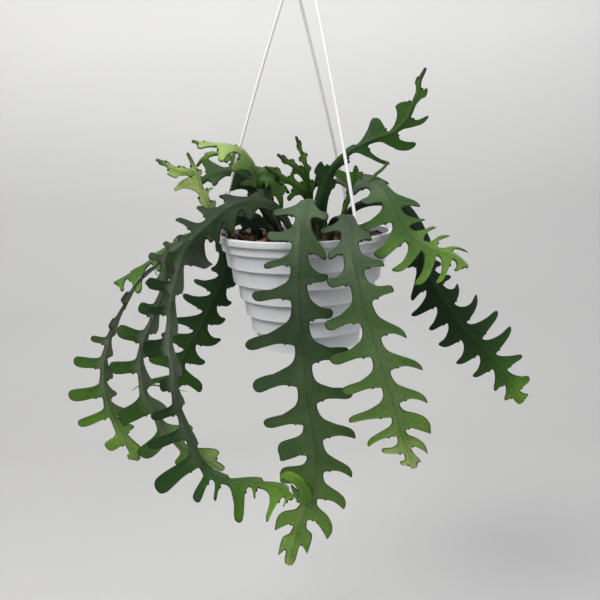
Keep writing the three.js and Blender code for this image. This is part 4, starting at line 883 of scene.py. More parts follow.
def round_ends(grid, values, track, tip_width):
    """A round tip and a closed base: copies of the end rings that shrink onto the midrib's end by
    cos(a) while they move on by sin(a), as along a quarter circle."""
    caps = []
    for at, forth in ((0, -1), (-1, 1)):
        ring = grid[at]
        middle = ring.mean(0)
        forward = frames(track, np.array([track[0][at]]))[1]
        move = forth * min(tip_width, END_LENGTH) * np.sin(END_TURNS)[:, None] * forward[0]
        cap = middle + (ring - middle) * np.cos(END_TURNS)[:, None, None] + move[:, None, :]
        caps.append(cap[:0:-1] if at == 0 else cap[1:])
    more = len(END_TURNS) - 1
    values = {key: np.pad(value, ((more, more), (0, 0)), "edge") for key, value in values.items()}
    return np.concatenate([caps[0], grid, caps[1]]), values


def areoles(upper_face, tied, lobes):
    """A bead just before each notch: a short tube that runs out over the edge."""
    beads = []
    for side, side_lobes in lobes.items():
        for begin, pitch, *_ in side_lobes:
            row = min(np.searchsorted(tied, begin + AREOLE["share"] * pitch), len(tied) - 1)
            spot, inwards = upper_face[side][row, -1], upper_face[side][row, -3]
            line = spot + unit(spot - inwards) * np.linspace(*AREOLE["reach"], 3)[:, None]
            radii = [AREOLE["end_radius"], AREOLE["radius"], AREOLE["end_radius"]]
            beads.append(tube(line, radii, 6, dict(wood=0.8, margin=5, rib=9)))
    return beads


print("an areole is", 2 * AREOLE["radius"], "mm thick")

# %% [markdown]
# ## The blade as a whole
# One function now grows any stem or shoot from its measured lists: outline, flat pattern, flesh,
# bend, ends and areoles. The same grid gives each point the numbers that the skin needs: how far it
# is from the midrib and from the edge, how young it is, how much pale bloom and painted sheen it
# has, and where it turns to wood.

# %% Blades
HANDS = dict(left=-1, right=1)
# How far past the midrib the right half's painted sheen reaches.
BLOOM_AND_SHEEN_PAST_RIB = 6.5
FOOT_LENGTH = 26
DRY_LENGTH = 16


def skin_numbers(stem, values, length):
    """The numbers that the skin reads: youth and the bloom with its painted sheen by the share of the
    way from base to tip, and wood, which fades over the stem's foot and grows over a dry tip. The
    right half's own painted sheen, the pale light off a folded half, goes on over the midrib and
    ends 6.5 mm past it."""
    rib, along = values["rib"], values["along"]
    youth = spread(stem["youth"], along / length)
    both, right = (spread(stem.get(key, [0]), along / length) for key in ("wax", "right_bloom_and_sheen"))
    wax = both + right * np.maximum(values["right"], np.clip((BLOOM_AND_SHEEN_PAST_RIB - rib) / 3, 0, 1))
    wood = np.clip(1 - along / FOOT_LENGTH, 0, 1) if "stalk_rows" in stem else 0 * along
    dry = stem.get("dry_tip", 0) * np.clip(1 - (length - along) / DRY_LENGTH, 0, 1)
    wood = np.maximum(wood, dry)
    return dict(rib=rib, margin=values["margin"], nerve=values["nerve"], youth=youth, wax=wax, wood=wood)


def blade(stem, seed):
    """A closed blade with its areoles. Upper and under face are the same pattern, lifted by half the
    thickness to either side; the seed is for the bends of the lobes."""
    draw = np.random.default_rng(seed)
    track = measure(stem["path"])
    length = track[0][-1]
    start = track[0][stem["stalk_rows"] * PER_SPAN] if "stalk_rows" in stem else 0
    edges, lobes = {}, {}
    for side in HANDS:
        rows, lobes[side] = edge_rows(stem, side, start, length)
        edges[side] = rounded(rows)
    tied = blade_rows(edges)
    waist = spread(stem["waist"], tied / length)
    fold = np.radians(spread(stem["fold"], tied / length))[:, None]
    curl = stem.get("curl", CURL)
    faces = {1: {}, -1: {}}
    halves = dict(rib={}, margin={}, nerve={}, along={}, right={})
    for side, hand in HANDS.items():
        places, outs, gaps = half_blade(edges[side], tied, CORE * waist)
        places = hooked(places, outs, tied, lobes[side])
        bends, nerves, pillow = lobe_marks(tied, lobes[side], draw)
        lift = half_thickness(outs, gaps, waist, nerves, pillow)
        for up, face in faces.items():
            face[side] = bent(track, hand, places, outs, up * lift, fold, curl, bends)
        whole = np.ones_like(outs)
        numbers = (outs, gaps, nerves[:, None] * whole, tied[:, None] * whole, (hand > 0) * whole)
        for half, number in zip(halves.values(), numbers):
            half[side] = number
    values = {key: ring_order(half, half) for key, half in halves.items()}
    tip_width = stem["waist"][-1] * TIP_SHARE
    grid, values = round_ends(ring_order(faces[1], faces[-1]), values, track, tip_width)
    body = closed_shell(grid, skin_numbers(stem, values, length))
    return stack([body, *areoles(faces[1], tied, lobes)])


print("the longest stem's blade has", len(blade(STEMS["stem_left_inner"], 0)[0]), "points")

# %% [markdown]
# ## Finishes
# A finish could be a picture laid over the piece, but a picture has an end and a seam. Here every
# finish is a small graph of shader nodes: noise in the object's own coordinates for the uneven look
# of the thing, and numbers that the pieces carry for what belongs to a place on them. Each helper
# makes one kind of node and gives its output, so that a graph reads like a few sums.

# %% Making nodes
def new_material(name, roughness=0.5, **constants):
    """A material with its Principled shader, whose constant sockets are set here."""
    material = bpy.data.materials.new(name)
    material.use_nodes = True
    tree = material.node_tree
    shader = tree.nodes["Principled BSDF"]
    shader.inputs["Roughness"].default_value = roughness
    for key, value in constants.items():
        shader.inputs[key.replace("_", " ")].default_value = value
    return material, tree, shader


def plug(tree, socket, value):
    """Joins another node's output to a socket, or sets the socket to a number or a colour."""
    if isinstance(value, bpy.types.NodeSocket):
        tree.links.new(value, socket)
    else:
        socket.default_value = value


def node(tree, kind, settings=None, **inputs):
    """A node with its settings. An input is named by its socket, or by i and its number where several
    sockets share a name."""
    made = tree.nodes.new(kind)
    for key, value in (settings or {}).items():
        setattr(made, key, value)
    for key, value in inputs.items():
        place = int(key[1:]) if key[0] == "i" and key[1:].isdigit() else key
        plug(tree, made.inputs[place], value)
    return made


def noise(tree, scale, detail=3, stretch=(1, 1, 1)):
    """Cloudy noise from 0 to 1 in object coordinates; scale counts clouds per metre."""
    place = node(tree, "ShaderNodeTexCoord").outputs["Object"]
    mapped = node(tree, "ShaderNodeMapping", Vector=place, Scale=stretch).outputs[0]
    return node(tree, "ShaderNodeTexNoise", Vector=mapped, Scale=scale, Detail=detail).outputs["Fac"]


def carried(tree, name):
    """A number that the mesh carries."""
    return node(tree, "ShaderNodeAttribute", dict(attribute_name=name)).outputs["Fac"]


kinds = [kind for kind in dir(bpy.types) if kind.startswith("ShaderNode")]
print("Blender offers some", len(kinds), "kinds of shader nodes")

# %% [markdown]
# ## Sums and colours as nodes
# A noise alone is a grey cloud. These helpers spread its values, add or multiply them, and mix
# colours by them. Bump turns a value into relief that only the light sees, which is enough for
# pores and grain under a tenth of a millimetre, and saves millions of faces.

# %% Sums, colours and relief
def between(tree, value, low, high, start=0.0, end=1.0):
    """Value from low to high spread over start to end, and clamped."""
    keys = {"Value": value, "From Min": low, "From Max": high, "To Min": start, "To Max": end}
    return node(tree, "ShaderNodeMapRange", **keys).outputs[0]


def sums(tree, operation, a, b):
    """One sum of two values."""
    return node(tree, "ShaderNodeMath", dict(operation=operation), i0=a, i1=b).outputs[0]


def blend(tree, share, a, b):
    """Colour a, going to colour b as share goes to 1."""
    made = node(tree, "ShaderNodeMix", dict(data_type="RGBA"), Factor=share)
    for socket, value in ((made.inputs[6], a), (made.inputs[7], b)):
        plug(tree, socket, (*value, 1) if isinstance(value, tuple) else value)
    return made.outputs[2]


def scaled(tree, colour, share):
    """A colour times a share."""
    return node(tree, "ShaderNodeVectorMath", dict(operation="SCALE"), i0=colour, Scale=share).outputs[0]


def ramp(tree, share, stops):
    """Colours spread over shares from 0 to 1."""
    made = node(tree, "ShaderNodeValToRGB", Fac=share)
    elements = made.color_ramp.elements
    while len(elements) < len(stops):
        elements.new(0.5)
    for element, (position, colour) in zip(elements, stops):
        element.position = position
        element.color = (*colour, 1)
    return made.outputs[0]


def bumped(tree, shader, height, distance, strength=1.0):
    """Relief: height in metres times distance."""
    made = node(tree, "ShaderNodeBump", Height=height, Distance=distance, Strength=strength)
    tree.links.new(made.outputs[0], shader.inputs["Normal"])


trial, trial_tree, trial_shader = new_material("trial")
bumped(trial_tree, trial_shader, between(trial_tree, noise(trial_tree, 10), 0.3, 0.7), 0.001)
print("a trial finish with cloudy relief takes", len(trial_tree.nodes), "nodes")
bpy.data.materials.remove(trial)

# %% [markdown]
# ## The skin of the stems
# Old growth is a dark, slightly grey green with a soft waxy shine, young growth is yellow-green, and
# dry tips and the foot of an old stem are woody. The midrib is a faint darker line, the edge a thin
# brown one, and some faces carry a pale grey, strongest near the rib: a painted sheen, where light
# glances off the skin and off folded crests, with some real bloom of wax. A material for each stem
# would do too, but one skin serves them all, as each stem carries its own numbers for youth, bloom
# and painted sheen, and wood, and a mottled noise breaks up every change.

# %% Skin
YOUNG_TO_OLD = [
    (0.0, (0.005, 0.017, 0.004)), (0.2, (0.014, 0.041, 0.009)), (0.45, (0.037, 0.099, 0.011)),
    (0.65, (0.107, 0.216, 0.023)), (0.78, (0.360, 0.500, 0.140)), (0.92, (0.400, 0.530, 0.180)),
    (1.0, (0.120, 0.095, 0.030)),
]
# A pale grey for painted sheen, with some real waxy bloom, on older faces and folded crests.
BLOOM_AND_SHEEN_GREY = (0.135, 0.160, 0.112)
EDGE_BROWN = (0.022, 0.016, 0.008)
SPECK = (0.110, 0.105, 0.060)
WOOD = (0.030, 0.033, 0.018)


def make_skin():
    """The skin: the ramp read at youth plus noise, towards the pale grey of painted sheen and bloom
    by that number * mottle, then darker at the rib, lighter on the crease of a lobe, brown at the
    edge, specked, and woody by wood."""
    material, tree, shader = new_material(
        "waxy stem skin", Specular_IOR_Level=0.16, Subsurface_Weight=0.08, Subsurface_Scale=0.002,
        Sheen_Weight=0.13, Sheen_Roughness=0.3)
    shader.inputs["Subsurface Radius"].default_value = (0.5, 1.0, 0.25)
    mottle, broad, grain = noise(tree, 42, 5), noise(tree, 11, 2), noise(tree, 700, 4)
    rib = carried(tree, "rib")
    youth = sums(tree, "ADD", carried(tree, "youth"), between(tree, broad, 0.3, 0.7, -0.06, 0.06))
    youth = sums(tree, "ADD", youth, between(tree, mottle, 0.3, 0.7, -0.04, 0.04))
    green = ramp(tree, youth, YOUNG_TO_OLD)
    # Painted sheen: the carried number mixes in the pale grey where light would glance off the skin, most
    # near the rib, with some real waxy bloom.
    wax = sums(tree, "MULTIPLY", carried(tree, "wax"), between(tree, mottle, 0.3, 0.65, 0.5, 1.1))
    wax = sums(tree, "MULTIPLY", wax, between(tree, rib, 4, 18, 1.2, 0.7))
    green = blend(tree, wax, green, BLOOM_AND_SHEEN_GREY)
    green = scaled(tree, green, between(tree, grain, 0.35, 0.65, 0.82, 1.2))
    green = blend(tree, between(tree, rib, 1.3, 0.4, 0.0, 0.45), green, scaled(tree, green, 0.6))
    vein = sums(tree, "MULTIPLY", carried(tree, "nerve"), between(tree, rib, 3, 7, 0, 0.25))
    green = blend(tree, vein, green, scaled(tree, green, 1.4))
    brown = blend(tree, 0.5, scaled(tree, green, 0.35), EDGE_BROWN)
    green = blend(tree, between(tree, carried(tree, "margin"), 2.0, 0.4, 0.0, 0.9), green, brown)
    specks = between(tree, noise(tree, 330, 2), 0.69, 0.74, 0.0, 0.3)
    green = blend(tree, specks, green, SPECK)
    wood = sums(tree, "MULTIPLY", carried(tree, "wood"), between(tree, mottle, 0.3, 0.6, 0.7, 1.2))
    green = blend(tree, between(tree, wood, 0.0, 0.7), green, WOOD)
    plug(tree, shader.inputs["Base Color"], green)
    plug(tree, shader.inputs["Roughness"], between(tree, mottle, 0.3, 0.7, 0.40, 0.58))
    bumped(tree, shader, sums(tree, "ADD", sums(tree, "MULTIPLY", grain, 0.3), mottle), 0.0006, 0.5)
    return material


SKIN = make_skin()
print("the skin is a graph of", len(SKIN.node_tree.nodes), "nodes")

# %% [markdown]
# ## Stalks and air roots
# A blade narrows to a round corky stalk, which stands in the soil, and two stems grew a thin root in
# the air. Both are tubes along a line: the stalk follows the first part of the midrib and then goes
# straight down into the soil, with a slightly uneven radius, because cork is never smooth.

# %% Stalks and air roots
STALK = dict(below=22, full=4, end=30, radius=3.4, end_radius=1.2, uneven=0.15)


def stalk(stem, seed):
    """The stalk: a tube whose radius falls from 3.4 mm at the soil to the thickness of the rib. Its
    places count along the midrib from its first row, and those below 0 go straight down."""
    places = np.linspace(-STALK["below"], STALK["end"], 27)
    line = frames(measure(stem["path"]), places)[0]
    first = line[places >= 0][0]
    line[places < 0, :2] = first[:2]
    line[:, 2] = np.where(places < 0, first[2] + places, line[:, 2])
    marks = [-STALK["below"], STALK["full"], STALK["end"]]
    radii = np.interp(places, marks, [STALK["radius"], STALK["radius"], STALK["end_radius"]])
    uneven = np.random.default_rng(seed).uniform(-STALK["uneven"], STALK["uneven"], len(places))
    wood = np.interp(places, [0, STALK["end"]], [1, 0])
    wood = np.concatenate([[1, 1, 1], wood, [0, 0, 0]])[:, None]
    return tube(line, radii + uneven, 18, dict(wood=wood, youth=0.2, rib=5, margin=5))


def air_root(points, radii):
    """An air root: a thin tube through its points, with its radii spread evenly from base to tip."""
    line = through(points, 8)
    return tube(line, spread(radii, np.linspace(0, 1, len(line))), 8, dict(youth=0.62, rib=9, margin=5))


print("a stalk stands", STALK["below"], "mm deep in the soil")

# %% [markdown]
# ## Growing the stems
# Each stem is one piece, because it grew as one body: its blade, its stalk, its side shoots and its
# air root. Every blade has its own seed, so each stem always bends its lobes the same way.

# %% Growing the stems
for number, (name, stem) in enumerate(STEMS.items()):
    shells = [blade(stem, number), stalk(stem, number)]
    for shoot_number, shoot in enumerate(stem.get("shoots", [])):
        shells.append(blade(SHOOTS[shoot], 100 + number * 10 + shoot_number))
    if "root" in stem:
        shells.append(air_root(stem["root"], stem["root_radii"]))
    make_piece("fine_" + name, stack(shells), SKIN, "stem_flesh", [name])

# %% [markdown]
# ## White plastic
# Pot and hanger are of the same white plastic; the pot's tone is a little darker and greyer, which
# paints the shade of the stems that hang over it. It is not a flat white: it has cloudy tones, faint
# vertical stains, and a painted shade where a band meets the next, which a carried number marks. A
# darker step could be painted on, but a number keeps it in place.

# %% White plastic
STAIN = (0.42, 0.38, 0.31)


def make_plastic(name, tone, roughness, dust):
    """Moulded plastic: the tone with clouds of 93% of it, stained by dust in streaks, and darkened to
    68% where the piece carries a painted shade number, for the shade under the step of a band."""
    material, tree, shader = new_material(
        name, roughness, Specular_IOR_Level=0.5, Subsurface_Weight=0.06, Subsurface_Scale=0.003)
    cloud = noise(tree, 14, 4)
    streaks = noise(tree, 60, 4, (1, 1, 0.15))
    cloudy = tuple(0.93 * part for part in tone)
    white = blend(tree, between(tree, cloud, 0.3, 0.7), tone, cloudy)
    white = blend(tree, between(tree, streaks, 0.58, 0.8, 0.0, dust), white, STAIN)
    # Painted shade: darker where a band meets the next, under the step.
    white = scaled(tree, white, between(tree, carried(tree, "seam"), 0, 1, 1.0, 0.68))
    plug(tree, shader.inputs["Base Color"], white)
    rough = between(tree, cloud, 0.3, 0.7, roughness - 0.06, roughness + 0.08)
    plug(tree, shader.inputs["Roughness"], rough)
    bumped(tree, shader, noise(tree, 260, 2), 0.0001, 0.4)
    return material


# The pot's tone is darker than the hanger's: painted shade from the stems that hang over it.
POT_PLASTIC = make_plastic("white pot plastic", (0.68, 0.695, 0.71), 0.38, 0.3)
STRAND_PLASTIC = make_plastic("white hanger plastic", (0.84, 0.83, 0.81), 0.30, 0.1)
print("two white plastics of", len(POT_PLASTIC.node_tree.nodes), "nodes each")

# %% [markdown]
# ## The pot's profile
# The pot is moulded in bands that step in towards the base, each a little narrower at its foot. The
# profile runs up the outside, over the lip and down the inside, and is then turned about the axis.
# A Solidify modifier could give a single surface its wall, but the lip and the soft corners that
# come from the mould are easier to draw in the profile itself.

# %% The pot's profile
BANDS = np.array([
    (-6, 82, 81), (-15, 78, 76.5), (-30, 73, 71.5), (-46, 67, 65.7), (-62, 61.8, 60.4),
    (-78, 56.5, 55.3), (-94, 51.5, 50),
])
STEP_SLOPE = 0.8
AXIS = 0.01
POT_CORNER = 0.7
CORNER_SHARE = 0.4
CORNER_GUARD = 1.2


def soft_corners(corners, radius):
    """A profile whose corners are rounded: each corner becomes a curve
    p(t) = (1-t)^2 a + 2t(1-t) corner + t^2 b between points a and b at the radius from it, but not
    past 0.4 of a side. One more point outside a and b keeps the flats flat."""
    corners = np.asarray(corners, float)
    rows = [corners[:1]]
    for before, corner, after in zip(corners, corners[1:], corners[2:]):
        back, forth = before - corner, after - corner
        reach = min(radius, np.linalg.norm(back) * CORNER_SHARE, np.linalg.norm(forth) * CORNER_SHARE)
        a, b = corner + unit(back) * reach, corner + unit(forth) * reach
        t = np.linspace(0, 1, 5)[:, None]
        curve = (1 - t) ** 2 * a + 2 * t * (1 - t) * corner + t**2 * b
        guards = [[corner + unit(side) * reach * CORNER_GUARD] for side in (back, forth)]
        rows += [guards[0], curve, guards[1]]
    rows.append(corners[-1:])
    return np.vstack(rows)


def pot_corners():
    """The profile's corners (radius, height): a band (top, upper radius, lower radius) gives one
    outer and one inner stretch. The inner one is a wall narrower and its steps lie a wall lower."""
    outside, inside = [], []
    tops = [*BANDS[:, 0], None]
    for (top, upper, lower), next_top in zip(BANDS, tops[1:]):
        foot = -POT_HEIGHT if next_top is None else next_top + STEP_SLOPE
        inside_foot = POT_FLOOR - POT_HEIGHT if next_top is None else next_top + 2 * STEP_SLOPE + POT_WALL
        inside_top = top + STEP_SLOPE + POT_WALL if inside else -STEP_SLOPE
        outside += [(upper, top), (lower, foot)]
        inside += [(upper - POT_WALL, inside_top), (lower - POT_WALL, inside_foot)]
    lip = [(RIM_RADIUS, -LIP_HEIGHT), (RIM_RADIUS, 0), (BANDS[0, 1] - POT_WALL, 0)]
    return [(AXIS, -POT_HEIGHT), *outside[::-1], *lip, *inside, (AXIS, POT_FLOOR - POT_HEIGHT)]


POT_PROFILE = soft_corners(pot_corners(), POT_CORNER)
print("the pot's profile has", len(POT_PROFILE), "points, from", len(pot_corners()), "corners")

# %% [markdown]
# ## Turning the pot
# Turning a profile is what a lathe does: each of its points becomes a ring. A painted shade number
# is highest just under each band's top, where the real pot is in its own shade, and darkens the
# plastic there. The six drain holes in the floor are cut with round bars by a Boolean modifier,
# which is then applied; holes in the profile's grid would need a floor of their own faces.

# %% The pot
DRAIN = dict(count=6, radius=4, ring=32, over=4)
# The painted shade under each band: how far under the top it is darkest, where it stops above, and its
# width.
SHADE = dict(drop=0.3, above=1.2, width=1.3)


def turned(profile, around=160, rise=None, values=None):
    """A profile of (radius, height) turned about the axis: (r cos a, r sin a, z). The profile starts
    and ends on the axis. The angles start half a step past 0, so that no edge of a drain hole falls
    on a column of points. rise adds height to each point, and values holds rows of numbers."""
    a = -(np.arange(around) + 0.5) * 2 * np.pi / around
    r, z = profile[1:-1, 0][:, None], profile[1:-1, 1][:, None]
    grid = np.stack([r * np.cos(a), r * np.sin(a), z + 0 * a], -1)
    if rise is not None:
        grid[..., 2] += rise(grid)
    rows = {key: value[1:-1, None] for key, value in (values or {}).items()}
    points, faces, extra = closed_shell(grid, rows)
    points[-2] = [0, 0, points[-2, 2]]
    points[-1] = [0, 0, points[-1, 2]]
    return points, faces, extra


def band_shade(heights):
    """A painted shade: a bell of the distance under a band's top, cut off where the band above it begins.
    """
    below = BANDS[:, 0] - heights[:, None] - SHADE["drop"]
    return np.where(below > -SHADE["above"], bell(below, SHADE["width"]), 0).max(1)


def cut_drains(piece):
    """Six round holes in the floor, cut with round bars on a ring."""
    for k in range(DRAIN["count"]):
        a = 2 * math.pi * k / DRAIN["count"]
        x, y = DRAIN["ring"] * math.cos(a), DRAIN["ring"] * math.sin(a)
        line = [(x, y, -POT_HEIGHT - DRAIN["over"]), (x, y, POT_FLOOR - POT_HEIGHT + DRAIN["over"])]
        bar = make_piece("drain bar", tube(line, DRAIN["radius"], 32), POT_PLASTIC)
        cut = piece.modifiers.new("drain", "BOOLEAN")
        cut.object, cut.operation, cut.solver = bar, "DIFFERENCE", "EXACT"
        bpy.context.view_layer.objects.active = piece
        bpy.ops.object.modifier_apply(modifier=cut.name)
        bpy.data.objects.remove(bar)


# The pot carries its painted band shade number.
pot_shell = turned(POT_PROFILE, 160, values=dict(seam=band_shade(POT_PROFILE[:, 1])))
pot = make_piece("fine_pot", pot_shell, POT_PLASTIC, "pot_plastic", ["pot"])
cut_drains(pot)

# %% [markdown]
# ## Moulded shapes
# The clips and the hook's bar are moulded: an outline carried across their width, with eased edges
# at both ends. A Bevel modifier would ease them too. Here each outline near an end just draws in a
# little, which keeps the mesh a plain grid.

# %% Moulded shapes
def thick_shape(outline, width, ease):
    """An outline in (x, z) carried along y from -width/2 to width/2. At either end it draws in by a
    quarter circle: by ease * (1 - cos a) where it stands ease * (1 - sin a) from the end."""
    outline = np.asarray(outline, float)
    along = unit(np.roll(outline, -1, 0) - np.roll(outline, 1, 0))
    outward = np.stack([along[:, 1], -along[:, 0]], -1)
    a = np.radians([90, 60, 30, 0])
    depth, draw_in = -width / 2 + ease * (1 - np.sin(a)), ease * (1 - np.cos(a))
    depth, draw_in = np.append(depth, -depth[::-1]), np.append(draw_in, draw_in[::-1])
    rings = outline[None] - outward[None] * draw_in[:, None, None]
    grid = np.stack([rings[..., 0], np.broadcast_to(depth[:, None], rings.shape[:2]), rings[..., 1]], -1)
    count, last = len(outline), (len(depth) - 1) * len(outline)
    ends = [list(range(count)), [last + k for k in range(count - 1, -1, -1)]]
    return grid.reshape(-1, 3), ring_faces(*grid.shape[:2]).tolist() + ends, {}


def turn_about_axis(points, degrees):
    """Points turned about the vertical axis: x' = x cos a - y sin a, y' = x sin a + y cos a."""
    a = math.radians(degrees)
    x, y, z = points.T
    return np.stack([x * math.cos(a) - y * math.sin(a), x * math.sin(a) + y * math.cos(a), z], -1)


def closed_outline(corners, radius):
    """A closed outline with soft corners: the last corner comes first and the first one last, so
    that each corner has its neighbours, and both are then dropped."""
    return soft_corners([corners[-1], *corners, corners[0]], radius)[1:-1]


block = thick_shape([(0, 0), (4, 0), (4, 2), (0, 2)], 6, 0.5)
print("a block of four corners has", len(block[0]), "points")

# %% [markdown]
# ## The strands
# Three thin stiff bars of white plastic leave the hook's bar, bow slightly outwards and clip over
# the lip. Each clip is a profile with a slot in it that fits the lip. One strand copied three times
# about the axis would be quicker, but the three don't stand evenly, and each meets the bar in its
# own place.

# %% The strands
STRANDS = dict(strand_left=(180, 0), strand_front_right=(-57, 8), strand_back_right=(55, -8))
STRAND = dict(bow=6, inset=2, foot=5, head=6)
CLIP = dict(width=7, thickness=2, inner=7, outer=5, shoulder=3, height=9, ease=0.6, corner=0.7)


def clip_corners():
    """Corners of the clip in (distance from the axis, height): a hook inside the wall, the slot over
    the lip, a shorter tongue outside it and a shoulder that carries the strand."""
    inner, outer = BANDS[0, 1] - POT_WALL - 2, RIM_RADIUS + FIT_GAP
    inner_face, outer_face = inner - CLIP["thickness"], outer + CLIP["thickness"]
    return [
        (inner_face, -CLIP["inner"]), (inner, -CLIP["inner"]), (inner, FIT_GAP), (outer, FIT_GAP),
        (outer, -CLIP["outer"]), (outer_face, -CLIP["outer"]), (outer_face, CLIP["shoulder"]),
        (outer - 1, CLIP["height"]), (inner + 1, CLIP["height"]), (inner_face, CLIP["shoulder"]),
    ]


def strand_line(angle, head_x):
    """The bowed line of a strand: a quadratic curve from the clip through a point pushed outwards
    to its head in the bar."""
    a = math.radians(angle)
    outwards = np.array([math.cos(a), math.sin(a), 0])
    foot = (RIM_RADIUS - STRAND["inset"]) * outwards + [0, 0, STRAND["foot"]]
    head = np.array([head_x, 0, HANGER_RISE + STRAND["head"]])
    middle = (foot + head) / 2 + STRAND["bow"] * outwards
    t = np.linspace(0, 1, 49)[:, None]
    return (1 - t) ** 2 * foot + 2 * t * (1 - t) * middle + t**2 * head


clip_outline = closed_outline(clip_corners(), CLIP["corner"])
for name, (angle, head_x) in STRANDS.items():
    clip_points, clip_faces, _ = thick_shape(clip_outline, CLIP["width"], CLIP["ease"])
    clip = turn_about_axis(clip_points, angle), clip_faces, {}
    strand = tube(strand_line(angle, head_x), STRAND_THICKNESS / 2, 20)
    make_piece("fine_" + name, stack([strand, clip]), STRAND_PLASTIC, "hanger_plastic", [name], sharp=40)

# %% [markdown]
# ## The hook
# The strands meet in a short bar, and the hook rises from it in one mould. Its round rod bends out to
# the side and then back over the bar in most of a circle, so that the pot hangs under the crook. A
# curve object could draw it, but the two formulas below let rod and circle meet without a kink.

# %% The hook
BAR_CORNER = 1.6
BAR_EASE = 1.2
NECK = dict(sunk=2, first=0.5, second=0.4)


def hook_line():
    """The hook's line: a cubic curve up from the bar and out to the side, which is pulled straight up
    by its first inner point and to the side by its second, then most of a circle."""
    top, radius = HANGER_RISE + BAR["height"], HOOK["radius"]
    neck, shoulder = np.array([0, 0, top - NECK["sunk"]]), np.array([radius, 0, top + HOOK["rise"]])
    first = np.array([0, 0, top + HOOK["rise"] * NECK["first"]])
    second = np.array([radius, 0, top + HOOK["rise"] * NECK["second"]])
    t = np.linspace(0, 1, 24)[:, None]
    rise = (1 - t) ** 3 * neck + 3 * t * (1 - t) ** 2 * first
    rise = rise + 3 * t**2 * (1 - t) * second + t**3 * shoulder
    a = np.linspace(0, np.pi * HOOK["turn"], 48)[1:]
    circle = np.stack([radius * np.cos(a), 0 * a, top + HOOK["rise"] + radius * np.sin(a)], -1)
    return np.vstack([rise, circle])


half_depth, low, high = BAR["depth"] / 2, HANGER_RISE, HANGER_RISE + BAR["height"]
section = [(-half_depth, low), (half_depth, low), (half_depth, high), (-half_depth, high)]
bar_points, bar_faces, _ = thick_shape(closed_outline(section, BAR_CORNER), BAR["length"], BAR_EASE)
bar = turn_about_axis(bar_points, 90), bar_faces, {}
hook = stack([bar, tube(hook_line(), HOOK["thickness"] / 2, 24)])
make_piece("fine_hook", hook, STRAND_PLASTIC, "hanger_plastic", ["hanger_hook"], sharp=40)

# %% [markdown]
# ## Peat and bark
# The mix is dark peat with coarse bark chips on top. Both are one graph with other tones and relief:
# the grain shifts the tone of each chip, which goes from nearly black to a warm pale brown.

# %% Peat and bark
def make_bark(name, dark, middle, light, relief):
    """Rough bark: a ramp of three tones read at the piece's own tone plus the grain, with relief."""
    material, tree, shader = new_material(name, 0.85, Specular_IOR_Level=0.3)
    grain = noise(tree, 160, 5, (1, 1, 2.5))
    tone = sums(tree, "ADD", carried(tree, "tone"), between(tree, grain, 0.3, 0.7, -0.3, 0.3))
    plug(tree, shader.inputs["Base Color"], ramp(tree, tone, [(0.0, dark), (0.5, middle), (1.0, light)]))
    plug(tree, shader.inputs["Roughness"], between(tree, grain, 0.3, 0.7, 0.7, 0.95))
    bumped(tree, shader, grain, relief, 0.9)
    return material


PEAT = make_bark("peat", (0.004, 0.004, 0.003), (0.011, 0.010, 0.007), (0.03, 0.022, 0.015), 0.002)
BARK = make_bark("bark chips", (0.012, 0.008, 0.006), (0.065, 0.028, 0.015), (0.28, 0.13, 0.065), 0.001)
print("peat and bark are graphs of", len(BARK.node_tree.nodes), "nodes")

# %% [markdown]
# ## The soil
# The soil fills the pot up to 10 mm under the rim. It is one lumpy body, turned like the pot, and its
# top rises by 3.5 mm towards the wall. Lumps could be made by a Displace modifier, but as sums of
# waves they are a function of x and y, and the chips can lie on them.

# %% The soil
MOUND = 3.5
MOUND_START, MOUND_WIDTH = 35, 25
WAVE_LENGTHS = (9, 7, 5, 4, 3.2, 2.6)
WAVE_HEIGHT = 0.045
STEPS_FILLED = (5, 3, 2, 1)


def lumps(x, y):
    """The soil's height over its level: broad lumps and a rise towards the wall, and finer lumps from
    sums of waves with fixed directions and phases."""
    broad = 1.2 * np.sin(0.31 * x + 1.3) * np.sin(0.27 * y) + 0.8 * np.sin(0.53 * x - 0.47 * y)
    broad = broad + MOUND * np.clip((np.hypot(x, y) - MOUND_START) / MOUND_WIDTH, 0, 1)
    draw = np.random.default_rng(7)
    fine = 0 * x
    for length in WAVE_LENGTHS:
        a, phase = draw.uniform(0, 2 * np.pi, 2)
        wave = np.sin(2 * np.pi * (x * np.cos(a) + y * np.sin(a)) / length + phase + 0.3 * broad)
        fine = fine + WAVE_HEIGHT * length * wave
    return broad + fine


def soil_profile():
    """The soil's profile: its flat foot on the pot's floor, a corner at four of the pot's steps with a
    gap to the wall, then 40 rings over its top from the wall to the axis."""
    foot = -POT_HEIGHT + POT_FLOOR + FIT_GAP
    corners = [(AXIS, foot), (BANDS[-1, 2] - 3 * POT_WALL, foot)]
    for k in STEPS_FILLED:
        corners.append((BANDS[k, 1] - POT_WALL - FIT_GAP, BANDS[k, 0] + STEP_SLOPE + POT_WALL))
    rings = np.linspace(BANDS[0, 2] - POT_WALL - FIT_GAP, 0.4, 40)
    return np.array([*corners, *[(radius, SOIL_LEVEL) for radius in rings], (AXIS, SOIL_LEVEL)])


def soil_rise(grid):
    """The lumps, only where the profile is the soil's top."""
    on_top = grid[..., 2] > SOIL_LEVEL - 0.01
    return np.where(on_top, lumps(grid[..., 0], grid[..., 1]), 0)


make_piece("fine_soil", turned(soil_profile(), 120, soil_rise), PEAT, "bark_mix", ["soil"])

# %% [markdown]
# ## Bark chips
# A chip is a small flake of bark. There are hundreds, so each has only 24 faces: one rounded box,
# with its own size, turn, slant and tone each time. Scattering them by a node modifier would do too,
# but then they couldn't carry their own tones so plainly.

